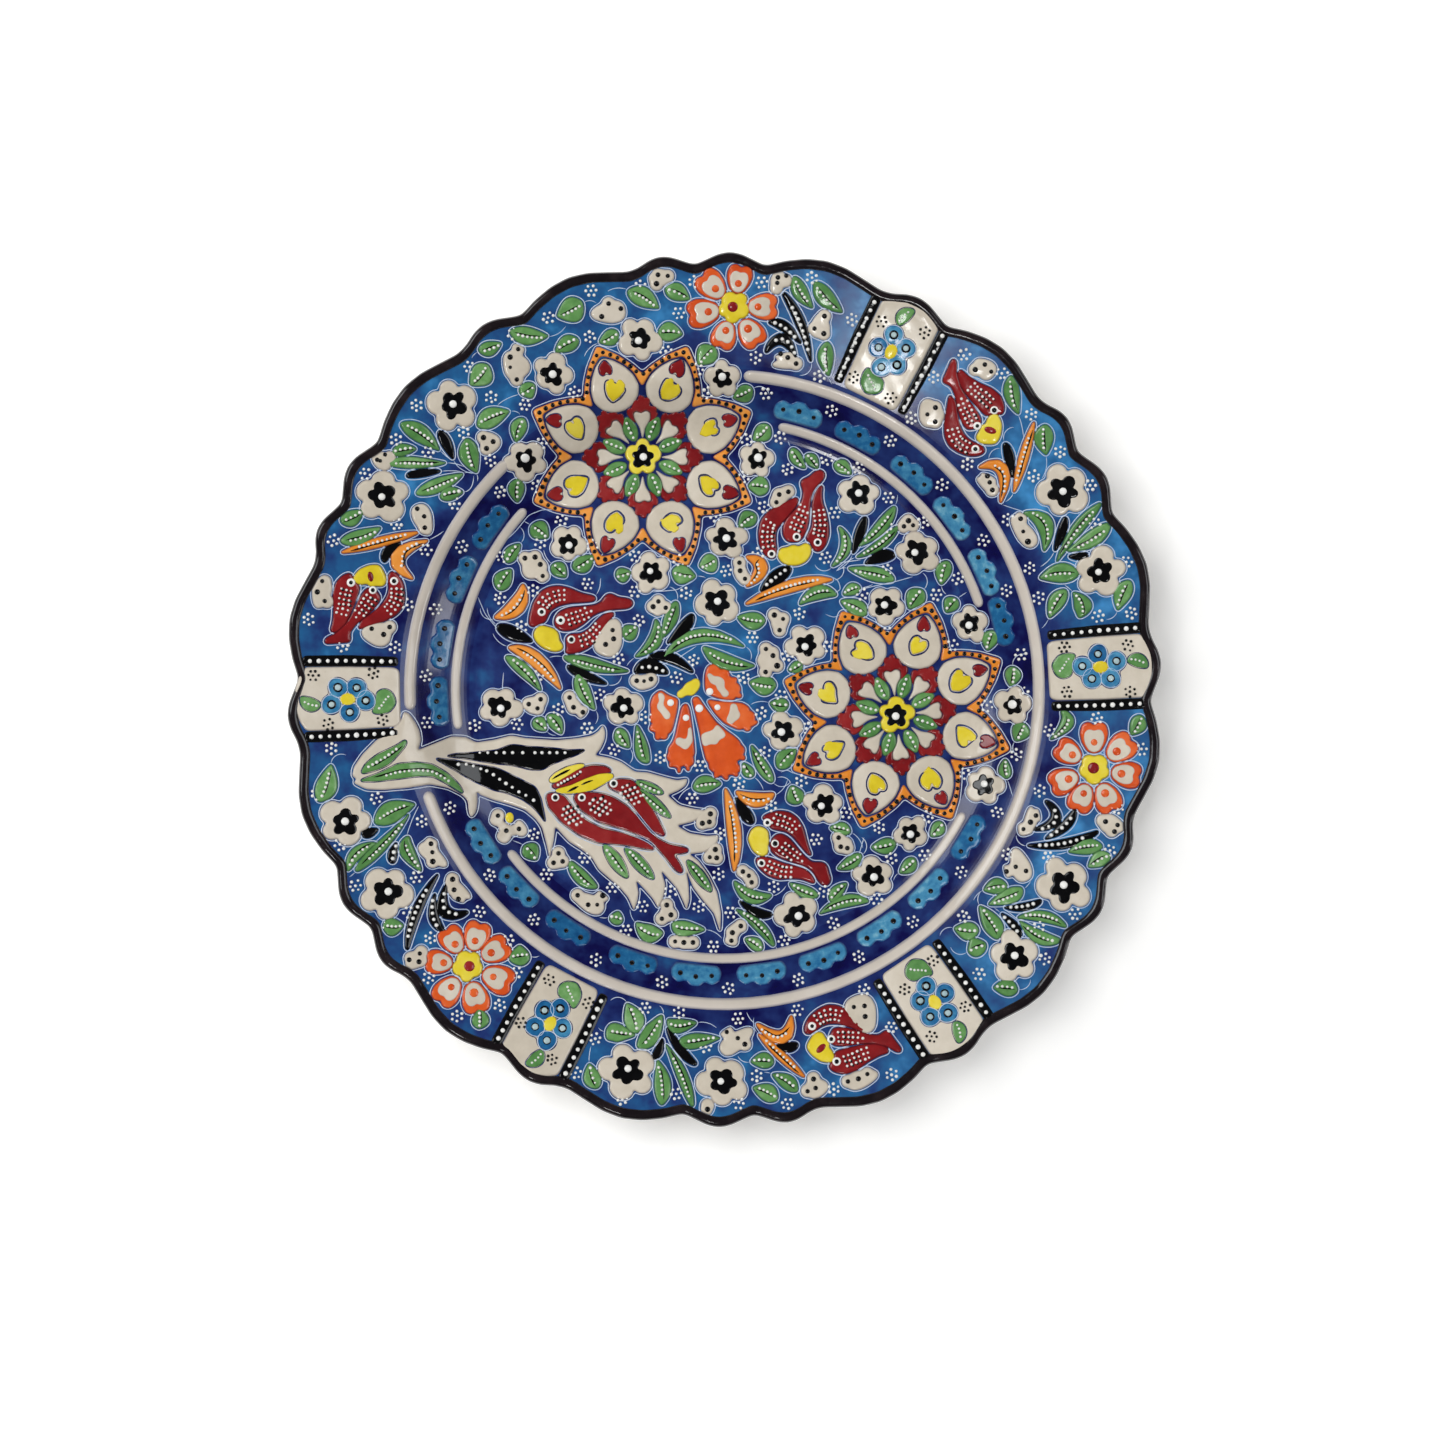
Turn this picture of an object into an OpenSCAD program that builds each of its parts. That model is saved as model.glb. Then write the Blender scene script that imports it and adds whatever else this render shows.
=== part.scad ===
// Hand painted ceramic plate: one fired body, a cobalt ground and raised glaze motifs.
// Millimetres, +Z up. Origin on the table under the plate's centre; +X is the right of the pattern.
// Each motif is drawn flat, seen from above, and laid on the dished face by drape().

/* [Plate] */
// radius at the widest scallop
rim_r = 125.4; // [80:0.2:220]
// depth of a hollow between two scallops
scallop = 3.4; // [0:0.2:8]
// height of the flat well above the table
well_z = 8.5; // [5:0.5:15]
// radius where the well starts to turn up
well_r = 73; // [50:1:90]
// outer radius of the foot ring
foot_r = 66; // [40:1:75]
// width of the foot ring
foot_w = 5; // [2:0.5:10]
// width of the black lip on the upper face
lip_w = 3; // [1:0.5:6]

/* [Glaze] */
// thickness of the blue ground
ground_t = 0.3; // [0.1:0.05:0.6]
// height of a raised motif above the ground
motif_t = 0.4; // [0.2:0.05:0.8]
// height of a second colour laid on a motif
top_t = 0.2; // [0.1:0.05:0.5]

/* [Rings and panels] */
// centre radius and width of the outer cream ring
outer_ring_r = 89.7; // [80:0.1:100]
outer_ring_w = 3.4; // [1:0.1:6]
// centre radius and width of the inner cream ring
inner_ring_r = 76.9; // [60:0.1:85]
inner_ring_w = 2.8; // [1:0.1:6]
// half width of a cream rim panel
panel_h = 8.8; // [6:0.1:12]

/* [Hidden] */
g = ground_t;
m = g + motif_t;
t = m + top_t;
// upper face of the clay: radius, height above the table
face = [[0, well_z], [well_r, well_z], [78.5, well_z + 2.5], [87.5, well_z + 9.5], [91.5, well_z + 11.7],
    [130, well_z + 20.8]];
panel_at = [3.3, 63.6, 181.3, 242.3, 303.8];
rosette_at = [[-23.4, 66.6, 22.5], [49.3, -7.2, 28]];

cream = [0.80, 0.76, 0.68];
black = [0.04, 0.04, 0.05];
cobalt = [0.05, 0.06, 0.30];
blue = [0.10, 0.28, 0.58];
cloud_blue = [0.16, 0.42, 0.66];
green = [0.30, 0.52, 0.28];
amber = [0.93, 0.55, 0.16];
orange = [0.88, 0.34, 0.12];
red = [0.58, 0.10, 0.10];
yellow = [0.90, 0.80, 0.20];

// ---- laying a flat drawing on the face ----
// a skin between heights a and b over the clay, from radius r0 to r1 (both face points or inside one slope)
module skin(a, b, pts) rotate_extrude()
    polygon(concat([for (p = pts) [p[0], p[1] + a]],
        [for (i = [len(pts) - 1:-1:0]) [pts[i][0], pts[i][1] + b]]));
module drape(a, b) intersection() { linear_extrude(60) children(); skin(a, b, face); }
module lay(a, b) translate([0, 0, well_z + a]) linear_extrude(b - a) children();

// ---- outline ----
// scallops in each sixth of the rim: [start, end] in degrees
lobes = [[5, 21], [21, 30.5], [30.5, 39.5], [39.5, 55], [55, 65]];
function lobe_r(u, wide) = rim_r - (wide ? 0 : 0.8) - scallop * (1 - pow((cos(180 * u) + 1) / 2, 0.7));
function rim_pts(d) = [for (k = [0:5], l = lobes, i = [0:5])
    let (u = i / 3 - 1, th = 3.5 + 60 * k + l[0] + (l[1] - l[0]) * i / 6, r = lobe_r(u, l[1] - l[0] > 12) - d)
    [r * cos(th), r * sin(th)]];

module plate_body() color(cream) intersection() {
    linear_extrude(60) polygon(rim_pts(0.6));
    rotate_extrude() polygon(concat([for (p = face) p], [[130, 24.2], [91, 15], [80, 7.5], [foot_r + 4, 4.2],
        [foot_r, 0], [foot_r - foot_w, 0], [foot_r - foot_w - 1.5, 3.2], [0, 3.2]]));
}
module rim_edge_band() color(black) difference() {
    intersection() {
        linear_extrude(60) polygon(rim_pts(0));
        rotate_extrude() polygon([[112, 24], [112, 25.8], [130, well_z + 20.8 + m], [130, 24.2]]);
    }
    intersection() {
        linear_extrude(60) polygon(rim_pts(0.6));
        rotate_extrude() polygon([[105, 20], [130, 20], [130, well_z + 20.8], face[4], [105, 15]]);
    }
    linear_extrude(60) polygon(rim_pts(lip_w));
}
module rim_ground() color(blue) intersection() {
    linear_extrude(60) polygon(rim_pts(lip_w));
    skin(0, g, [face[4], face[5]]);
}
module band_ground() color(cobalt) skin(0, g, [face[1], face[2], face[3], face[4]]);
module well_ground() color(blue) skin(0, g, [face[0], face[1]]);

// ---- rings ----
function arc_pts(r, a0, a1, n) = [for (i = [0:n]) let (a = a0 + (a1 - a0) * i / n) r * [cos(a), sin(a)]];
module arc_strip(r, w, a0, a1) {
    n = ceil((a1 - a0) / 4);
    h = w / 2;
    e0 = a0 - 0.8;
    e1 = a1 + 0.8;
    polygon(concat(arc_pts(r + h, a0, a1, n), [r * [cos(e1), sin(e1)]], arc_pts(r - h, a1, a0, n),
        [r * [cos(e0), sin(e0)]]));
}
module outer_ring() color(cream) drape(g, m) {
    arc_strip(outer_ring_r, outer_ring_w, 134, 183.2);
    arc_strip(outer_ring_r, outer_ring_w, 199.4, 446);
}
module inner_ring() color(cream) drape(g, m) {
    arc_strip(inner_ring_r, inner_ring_w, 18.4, 78);
    arc_strip(inner_ring_r, inner_ring_w, 138.2, 188);
    arc_strip(inner_ring_r, inner_ring_w, 217.2, 332.4);
}

// ---- rim panels ----
module panels() for (a = panel_at) rotate(a) children();
module mirror_y() { children(); mirror([0, 1]) children(); }
module rim_panels() color(cream) drape(g, m) panels() polygon([[92.6, -7.6], [92.6, 7.6], [94, panel_h - 0.5],
    [107, panel_h], [119, panel_h + 0.1], [120.6, 6.5], [121.8, 3], [121.8, -3], [120.6, -6.5],
    [119, -panel_h - 0.1], [107, -panel_h], [94, -panel_h + 0.5]]);
module panel_bars() color(black) drape(g, m) panels() mirror_y()
    polygon([[92.8, panel_h], [92.8, panel_h + 2.6], [107, panel_h + 3.4], [119.6, panel_h + 3.5],
        [119.6, panel_h + 0.5], [107, panel_h + 0.3]]);
// flower in the panel: petal centres from the panel's axis, [radius, sideways]
panel_flower = [[109.9, -3.1], [111.8, 1.7], [106.7, 4], [102.1, 0.8], [104.6, -2.9]];
module panel_petals() color(cloud_blue) drape(m, t) panels() for (p = panel_flower) translate(p)
    polygon([for (i = [0:11]) let (a = 30 * i) 2.7 * [cos(a), 1.02 * sin(a)]]);
module panel_centres() color(yellow) drape(t, t + top_t) panels() translate([107.2, 0.3])
    polygon([for (i = [0:9]) let (a = 36 * i) [2.3 * cos(a), 1.8 * sin(a)]]);
module panel_leaves() color(green) drape(m, t) panels() {
    leaf([120.6, -0.8], [117.8, 1.6], [114.6, 1.4], 3.8);
    polygon([[93.6, 1.6], [94.6, -1.2], [96.4, -2.4], [98.6, -1.8], [99.2, -0.4], [99.4, 2.6], [100.6, 4.2],
        [98.4, 4.6], [95.6, 4.2]]);
}

// ---- strokes ----
// a leaf from a to b, passing through v half way, w wide
function way(a, v, b, s) = (1 - s) * (1 - 2 * s) * a + 4 * s * (1 - s) * v + s * (2 * s - 1) * b;
function swell(s) = pow(sin(180 * s), 0.8) / 2;
module leaf(a, v, b, w) {
    n = 6;
    side = [for (i = [1:n - 1]) let (s = i / n, d = way(a, v, b, s + 0.02) - way(a, v, b, s - 0.02))
        w * swell(s) * [-d[1], d[0]] / norm(d)];
    polygon(concat([a], [for (i = [1:n - 1]) way(a, v, b, i / n) + side[i - 1]], [b],
        [for (i = [n - 1:-1:1]) way(a, v, b, i / n) - side[i - 1]]));
}
function polar(p) = p[1] * [cos(p[0]), sin(p[0])];
// rows: start, optional half-way point, end, width; on the rim the points are [degrees, radius]
module leaves(rows, on_rim) for (v = rows) {
    k = len(v);
    p = [v[0], v[1]];
    q = [v[k - 3], v[k - 2]];
    a = on_rim ? polar(p) : p;
    b = on_rim ? polar(q) : q;
    h = k < 7 ? (a + b) / 2 : on_rim ? polar([v[2], v[3]]) : [v[2], v[3]];
    leaf(a, h, b, v[k - 1]);
}

// ---- rosettes ----
module rosettes(step = 0) for (r = rosette_at) translate([r[0], r[1]]) for (k = [0:7])
    rotate(r[2] + 45 * k + step) children();
star_half = [[33.7, 0], [29.3, 4.3], [24.9, 7.3], [21.5, 8.9]];
hole_half = [[30.7, 0], [28.5, 3], [25.9, 5.2], [22.9, 6.8], [18, 7.4]];
function star(h, rot) = [for (k = [0:7]) each concat(
    [for (i = [len(h) - 1:-1:1]) spin([h[i][0], -h[i][1]], rot + 45 * k)],
    [for (i = [0:len(h) - 2]) spin(h[i], rot + 45 * k)])];
function spin(p, a) = [p[0] * cos(a) - p[1] * sin(a), p[0] * sin(a) + p[1] * cos(a)];
module rosette_bands() color(amber) drape(g, m) for (r = rosette_at) translate([r[0], r[1]]) difference() {
    polygon(star(star_half, r[2]));
    polygon(star(hole_half, r[2]));
}
module petal() polygon([[14.2, 0], [14.6, 2.6], [16.2, 5.2], [19.1, 6.8], [22.4, 6.4], [25.5, 4.9], [28.3, 2.6],
    [30, 0], [28.3, -2.6], [25.5, -4.9], [22.4, -6.4], [19.1, -6.8], [16.2, -5.2], [14.6, -2.6]]);
module rosette_petals() color(cream) drape(g, m) rosettes() petal();
module rosette_hearts() color(yellow) drape(m, t) rosettes() translate([21.6, 0]) rotate(25)
    polygon([[-3.2, 0], [-1.4, 1.8], [0.8, 2.6], [2.4, 1.8], [2.6, 0.7], [1.8, 0], [2.6, -0.9], [2.2, -2.1],
        [0.4, -2.6], [-1.6, -1.6]]);
module rosette_darts() color(red) drape(m, t) rosettes() translate([0, 0.2])
    polygon([[24.9, 0], [25.6, 1.7], [27, 1.9], [28.9, 0.4], [28.9, -0.4], [27, -1.9], [25.6, -1.7]]);
module trefoil() polygon([[9.6, 2], [10.6, 3.6], [12.4, 4.7], [14.2, 4.2], [14.9, 2.8], [16.4, 2.4], [17.5, 1],
    [17.5, -1], [16.4, -2.4], [14.9, -2.8], [14.2, -4.2], [12.4, -4.7], [10.6, -3.6], [9.6, -2]]);
module trefoil_base() polygon([[5, 0], [8.4, 0.8], [10.6, 2.2], [12.4, 2.6], [12.9, 1.6], [12.2, 0.4],
    [13.1, -0.8], [12.6, -2.2], [10.6, -2.2], [8.4, -0.8]]);
module rosette_trefoils() color(red) drape(g, m) rosettes(22.5) difference() { trefoil(); trefoil_base(); }
module trefoil_bases() color(cream) drape(g, m) rosettes(22.5) trefoil_base();
module rosette_leaves() color(green) drape(g, m) rosettes() leaf([4.8, 0], [8.4, 0.3], [12.4, 0], 3.8);
module rosette_centres() color(yellow) drape(g, m) for (r = rosette_at) translate([r[0], r[1]])
    daisy(9.2, 90);

// ---- daisies ----
// five round petals, n outline points
module daisy(d, rot, deep = 0.3, n = 30) polygon([for (i = [0:n - 1]) let (a = 360 / n * i)
    d / 2 * (1 - deep + deep * pow(abs(cos(2.5 * a)), 0.8)) * [cos(a + rot), sin(a + rot)]]);
module daisy_heart(d, rot) daisy(d, rot, 0.42, 20);
// [degrees, radius, diameter, turn]
rim_daisy = [[17.4, 111.9, 13.2, 10], [30.4, 111.7, 15, 40], [90.4, 88.6, 10.2, 20], [103.5, 102.7, 12, 60],
    [118.6, 102.3, 11.2, 0], [130.9, 86.6, 11.2, 50], [133.7, 112, 14, 30], [150.5, 111.9, 14.5, 15],
    [199.2, 114.2, 14, 70], [211, 112, 14.6, 60], [255.8, 112, 14.4, 30], [269.8, 111.5, 14.5, 45],
    [317.3, 112, 13.6, 25], [330, 111.5, 14.6, 40], [356.9, 82.6, 10.4, 10]];
// [x, y, diameter, turn]
well_daisy = [[-44.7, 41.8, 10.6, 60], [-21, 33.5, 11.2, 30], [0.3, 43.1, 11.2, 15], [-2.1, 24.8, 13, 40],
    [9.2, 66, 9.8, 80], [38.3, 56, 12, 10], [55.4, 39.4, 12.3, 30], [46.2, 24.1, 11, 55],
    [70.2, 18.8, 10.3, 20], [23.5, 12.7, 10.8, 45], [-64.4, -4.8, 11.5, 60], [-29, -4.8, 11, 20],
    [17, -12, 11, 30], [28.3, -33, 11.2, 15], [53.3, -41.1, 9.6, 50], [42.6, -53.3, 11.2, 25],
    [20.7, -64.5, 12.3, 35], [74.2, -27.3, 10.6, 5]];
module rim_daisies() color(cream) drape(g, m) for (d = rim_daisy) translate(polar(d)) daisy(d[2], d[3]);
module well_daisies() color(cream) drape(g, m) for (d = well_daisy) translate([d[0], d[1]]) daisy(d[2], d[3]);
module daisy_hearts() color(black) drape(m, t) {
    for (d = rim_daisy) translate(polar(d)) daisy_heart(0.44 * d[2], d[3] + 20);
    for (d = well_daisy) translate([d[0], d[1]]) daisy_heart(0.46 * d[2], d[3] + 20);
    for (r = rosette_at) translate([r[0], r[1]]) daisy_heart(5.2, 90);
}

// ---- ring flowers ----
// where each flower is, [degrees, radius], and its petals, [direction, distance, size]
ring_flower = [
    [88.6, 108.8, [[79, 7.9, 1], [135, 8.5, 1.12], [190, 8.5, 1.16], [251, 8, 1], [304, 8.4, 1.06],
        [1, 8, 1.06]]],
    [227.1, 107.2, [[29, 8.6, 1.06], [74, 8.4, 1.06], [121, 8.2, 1], [173, 8, 0.95], [232, 8.8, 1.1],
        [283, 9, 1.12], [336, 9, 1.16]]],
    [347.9, 107.6, [[90, 8.7, 1.1], [38, 9.2, 1.12], [350, 8.9, 1.06], [294, 8.7, 1.08], [247, 8.7, 1.04],
        [202, 8.9, 1.06], [147, 8.4, 0.98]]]];
module ring_flowers() for (f = ring_flower) translate(polar(f)) for (p = f[2]) rotate(p[0])
    translate([p[1], 0]) scale(p[2]) children();
module heart_petal() polygon([[-3.7, 0], [-3, 1.6], [-0.9, 2.8], [1.4, 3.3], [3.3, 2.8], [3.9, 1.7], [3.6, 0.7],
    [2.7, 0], [3.6, -0.7], [3.9, -1.7], [3.3, -2.8], [1.4, -3.3], [-0.9, -2.8], [-3, -1.6]]);
module ring_flower_petals() color(orange) drape(g, m) ring_flowers() heart_petal();
module ring_flower_hearts() color(cream) drape(m, t) ring_flowers() translate([-0.7, 0]) scale(0.7)
    heart_petal();
module ring_flower_centres() color(yellow) drape(g, m) for (f = ring_flower) translate(polar(f))
    daisy(8.4, 50, 0.2);

// ---- leaves ----
rim_leaf = [[11.5, 113.8, 15.2, 119.1, 4.5], [11.5, 103.7, 13.4, 104.6, 15.6, 103, 4.5],
    [19.8, 95.3, 18.4, 106.4, 5], [12.6, 94.5, 16.5, 101.1, 4], [21.7, 106, 23, 120.6, 4],
    [21.4, 101, 24.2, 110.5, 26.7, 119.6, 2.8], [23.4, 99, 27, 102.4, 30.6, 100, 4.2],
    [36.2, 113, 39.7, 118, 5], [43.2, 114.5, 47.8, 120.8, 4],
    [72.7, 112, 77.7, 118.3, 4.5], [77.1, 111.1, 80.7, 118.8, 3.8], [71.8, 94, 73.8, 103.2, 4],
    [88.2, 83.2, 84.6, 86, 4.4], [95, 111.7, 98.3, 115.6, 4.5], [99.6, 110.4, 103.5, 117, 5],
    [96.7, 102.2, 100.5, 103.7, 5], [106.5, 105.9, 109.8, 104.8, 4], [110.1, 117, 114.1, 115.9, 6.6],
    [112.6, 108.2, 116.6, 107.8, 4.2], [116.6, 112, 121.1, 118.3, 4.5], [122.8, 116.9, 126, 118.7, 3.6],
    [126, 113.8, 129.8, 112.5, 6], [122, 101.9, 124.6, 101.9, 4.5], [127.6, 100.6, 133.1, 103.2, 5],
    [126.6, 96.6, 130.2, 92.4, 4], [91.6, 97.6, 94.7, 93.2, 5.6],
    [139.7, 105.9, 140.3, 119.3, 4.5], [139, 94, 135.9, 102.7, 5], [141.9, 111.4, 144.5, 116.2, 3],
    [141.2, 101.6, 143.6, 109.4, 146.5, 115.6, 2.8], [140.6, 95.8, 144, 100, 147.8, 103.6, 3.6],
    [142.8, 93.6, 145.8, 98, 3.4],
    [153.7, 114.6, 156.5, 119.1, 4], [154.9, 107.7, 159.1, 116.7, 3.8],
    [190.9, 113.4, 195.6, 119.2, 5.4], [203.7, 108.5, 204, 114, 205.4, 119.6, 3],
    [202, 96, 204.4, 108, 206.6, 116.8, 2.6], [200, 94, 200.6, 106.6, 5.6],
    [204.8, 99.4, 207.4, 101.6, 211, 99.8, 3.4],
    [214.8, 118.2, 216.4, 113.4, 4.6], [234.2, 118.8, 232.6, 114.2, 4.4], [231.2, 93.6, 233.6, 97.6, 5.4],
    [250, 113.3, 252.2, 119.2, 4.4], [260, 106.8, 261.7, 119.4, 4.2], [261, 102, 263.4, 110.2, 266, 119, 2.6],
    [258.7, 94, 258.2, 100, 256.3, 104.8, 4.6], [252.9, 93.4, 255.9, 100.8, 5.2],
    [251.4, 104.6, 252.6, 102.2, 255.6, 102.2, 4.6], [262.6, 100.6, 265.4, 100.6, 269.3, 98.6, 3.6],
    [260.2, 95.6, 262.4, 96.9, 265.2, 94.4, 3.4], [274.2, 113.2, 277.5, 117.2, 4.4],
    [277.2, 110, 280.5, 115.8, 3.6], [274.1, 105.9, 277.6, 106.6, 4],
    [312.2, 114, 314.4, 119.2, 4.4], [321.8, 107.6, 321.9, 114, 323, 120.8, 3.4],
    [322.2, 105.5, 324.2, 110.5, 325.6, 118.2, 2.8], [319.3, 95, 319, 101, 317.6, 105.4, 4.6],
    [313.8, 94.6, 316.4, 100, 4.6], [313, 101.6, 315.8, 103.4, 5.2],
    [321, 96.4, 323.8, 100.2, 326.4, 101.9, 3.8], [322.4, 93.2, 325.4, 97.8, 4],
    [334.1, 115.2, 336.9, 119.4, 4], [334.9, 108, 337.7, 116.2, 4],
    [356.4, 119.2, 353.6, 116.6, 4.2], [351.2, 94, 354.6, 98, 356.2, 96.4, 3],
    [350, 84.6, 353.6, 86, 4.6]];
well_leaf = [[-59.4, 53.6, -59.2, 60.2, 4], [-55.2, 47.1, -50.3, 43.8, 5], [-62.6, 36.6, -58.6, 42, 3.4],
    [-65, 28.8, -61.2, 34.6, 4.5], [-49.2, 36, -45.2, 32.4, 3.8], [-43.2, 34.4, -37.2, 38.2, 4.4],
    [-31, 32.4, -26.8, 33.6, 3.8], [-15, 33.8, -8.3, 32.2, 5], [-7, 35.1, -2.1, 37.3, 5],
    [-28.8, 15, -25, 18.1, 4.2], [-25.6, 9.4, -20.6, 13.4, -18.8, 19.9, 3.4],
    [-17.4, 14.4, -15.8, 20, -13.2, 25.3, 3.4],
    [-18, 10.6, -5.6, 15.2, 5.9, 12.4, 3.4], [-6.5, 11.5, 1.2, 8, 8.7, 6.5, 4],
    [-46.3, 8.8, -37, 7.4, -27.4, 4.4, 3.2], [-62.3, 10.1, -52, 0, 3], [-42.6, 4.6, -37.4, -6, 3.6],
    [8.4, 71.3, 13, 75.4, 4.5], [9.6, 55.6, 10, 61, 5.6], [18.9, 69, 23, 63.2, 3], [23.5, 67.5, 26.9, 63.4, 3],
    [31.6, 65.2, 36.5, 61.9, 3.5], [4, 46.8, 8.9, 50.4, 4.4], [30.6, 35.2, 34.4, 40.2, 33.7, 46.6, 2.6],
    [38.8, 40.6, 44.2, 46.4, 49.5, 52.2, 3], [38, 37.4, 44, 41.6, 50.3, 46.4, 2.2],
    [35.2, 34.1, 42.4, 33.6, 48.7, 31, 3.5], [21.4, 24.4, 26.2, 27.5, 32.1, 27.9, 3.6],
    [33.9, 27.4, 38.8, 29.7, 3], [33, 24.9, 37.4, 23.9, 40.6, 21.3, 4], [52.6, 23.4, 56.6, 28.7, 5],
    [63.3, 22.3, 66.3, 26.2, 4], [61.8, 30.2, 63.6, 37, 4], [75, 11.4, 76.8, 17, 4.2],
    [3.6, 20.6, 11.7, 19.3, 4.5], [28.6, 21.8, 26, 20.2, 28.4, 17.6, 3], [18.4, 5.4, 22.4, 7.4, 3],
    [7.1, 1.9, 14.8, 0.9, 5], [-54.5, -8.4, -50.9, -11.5, 3.5], [-50.2, -6.9, -46.3, -12.5, 3.5],
    [-30.8, -11.2, -27.4, -16.8, 3.6],
    [-24.4, -9.8, -24, -16.6, -21.6, -21, 3.2], [-9.1, -27.6, -0.9, -26.5, 4.3],
    [-57, -44.4, -53.5, -48.5, 4.5], [-43.4, -48.4, -42, -53, -36.2, -56.6, 3.6], [-32.6, -65, -29, -65.6, 3.6],
    [-25.2, -66.6, -22, -69.4, -17.8, -70.2, 4.6], [-15, -66.8, -11.2, -68.6, -5.4, -68, 3.8],
    [13, -4, 18.4, -4.6, 3.6], [7.2, -16, 10.8, -21.4, 13.5, -26.8, 2.8], [5.2, -21, 8, -25, 2.8],
    [15.1, -22.2, 20.4, -16.8, 4.5], [18, -31.2, 22.4, -29, 5.4], [30.2, -39.2, 36.2, -40.4, 3.2],
    [42.1, -45.4, 49.2, -44.1, 4], [59.2, -42.1, 62.5, -38, 3.5], [32.4, -51.6, 39.5, -47.4, 3.2],
    [50.3, -52.6, 54.8, -48.5, 3.5], [2.8, -54.6, 6.8, -58.6, 13.4, -59.6, 3.6], [18.4, -55.6, 26.8, -59.4, 3],
    [30.1, -60.5, 34.9, -55.1, 3], [27, -63.8, 34, -61, 41.3, -59.7, 3],
    [3.6, -62.4, 9, -67.2, 14.8, -73, 2.4], [6, -71, 11, -74.2, 3], [80, -19.8, 80.4, -25.4, 3],
    [82.6, 6.6, 82, 1, 4]];
module rim_leaves() color(green) drape(g, m) leaves(rim_leaf, true);
module well_leaves() color(green) drape(g, m) leaves(well_leaf, false);
module amber_leaves() color(amber) drape(g, m) {
    leaves([[34.2, 99.6, 37.8, 107.8, 40.9, 116.7, 2.4], [34, 94.8, 38.4, 101, 41.2, 96, 3.2],
        [152.7, 97.8, 156.8, 106.6, 160.4, 115.9, 2.4], [153.2, 94.4, 158, 100.4, 160.5, 93.9, 3.6],
        [275.6, 98.4, 278.8, 105.4, 281.8, 112.8, 2.2], [275.4, 95.4, 279.4, 100.4, 281.7, 94.6, 3.4]], true);
    leaves([[-57.6, 30.4, -59.4, 24, -66, 20.6, 4.4], [-62, 12.2, -54.2, 8.8, -46.7, 0, 3.8],
        [6, 38.2, 10.6, 35, 6, 29.4, 3.6], [5.8, 24.4, 19.5, 29.8, 31.2, 31.6, 3.2],
        [3.2, -29, 9, -31.6, 14.4, -29.6, 3.8], [0.2, -28, 2.8, -40.4, 2.8, -52.2, 3.6]], false);
}
module dark_leaves() color(black) drape(g, m) {
    leaves([[21.1, 104.8, 20.2, 110.6, 1.5], [22.8, 101.6, 24.6, 105.4, 27, 109, 1.8],
        [36.2, 101.4, 38.8, 104.4, 41.5, 106.4, 2], [75, 96.4, 78, 105.4, 81.5, 114.8, 2],
        [77.4, 100.4, 80.2, 104.4, 83.3, 105.8, 2], [77.6, 97, 81, 101, 83.1, 96, 2.6],
        [139.6, 101.1, 137.6, 109.8, 2.2], [142.4, 101.6, 144.2, 105.6, 146.3, 109.2, 1.6],
        [155.4, 101, 157.4, 103.2, 159.6, 104, 2],
        [201.9, 111.4, 202, 106, 2], [205, 102.6, 206.2, 105.2, 207.8, 106.8, 1.8],
        [212.6, 96.8, 215.4, 106.4, 219.2, 117.4, 2], [215, 100.6, 217.8, 104.6, 220.9, 106, 2],
        [214.8, 97.4, 218.8, 101.4, 221, 95.8, 2.8], [259.7, 100.6, 259.8, 104, 258.9, 107.4, 1.6],
        [260.4, 97, 262.6, 102.6, 265.9, 107.4, 1.8], [278, 102, 279.8, 103.4, 281.9, 103.2, 2],
        [320.9, 101, 320.9, 106, 320, 110.2, 1.6], [322, 100.8, 323.8, 104.8, 326.4, 108.9, 1.6],
        [332.6, 96.8, 335.4, 105.4, 339.1, 114.4, 2], [335, 100.2, 337.8, 104.2, 341.3, 105.8, 2],
        [335.4, 97.2, 339, 101.2, 341, 96, 2.4]], true);
    leaves([[-16.4, 13, -12.2, 17.2, -8.5, 21.7, 2.4], [-26, 5.4, -20.6, 6.8, -16, 4, 3.4],
        [-22.1, 9.6, -14.4, 8.8, -8.9, 4.2, 2.2], [-45.4, 6.8, -39.4, 4, -33.4, 1.4, 2],
        [-65.4, 18.2, -60, 16, -54.8, 13.6, 3],
        [36.4, 38.8, 38.6, 44, 40.4, 49.9, 2], [40, 36, 44.6, 38, 49, 39, 2.6],
        [10, 28.2, 14.3, 31.5, 19.2, 35.4, 3.2], [3, -30.6, 5.8, -35, 8.2, -38.6, 2.4],
        [4.2, -60.2, 8.6, -63.4, 14, -64.8, 1.8]], false);
}

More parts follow.
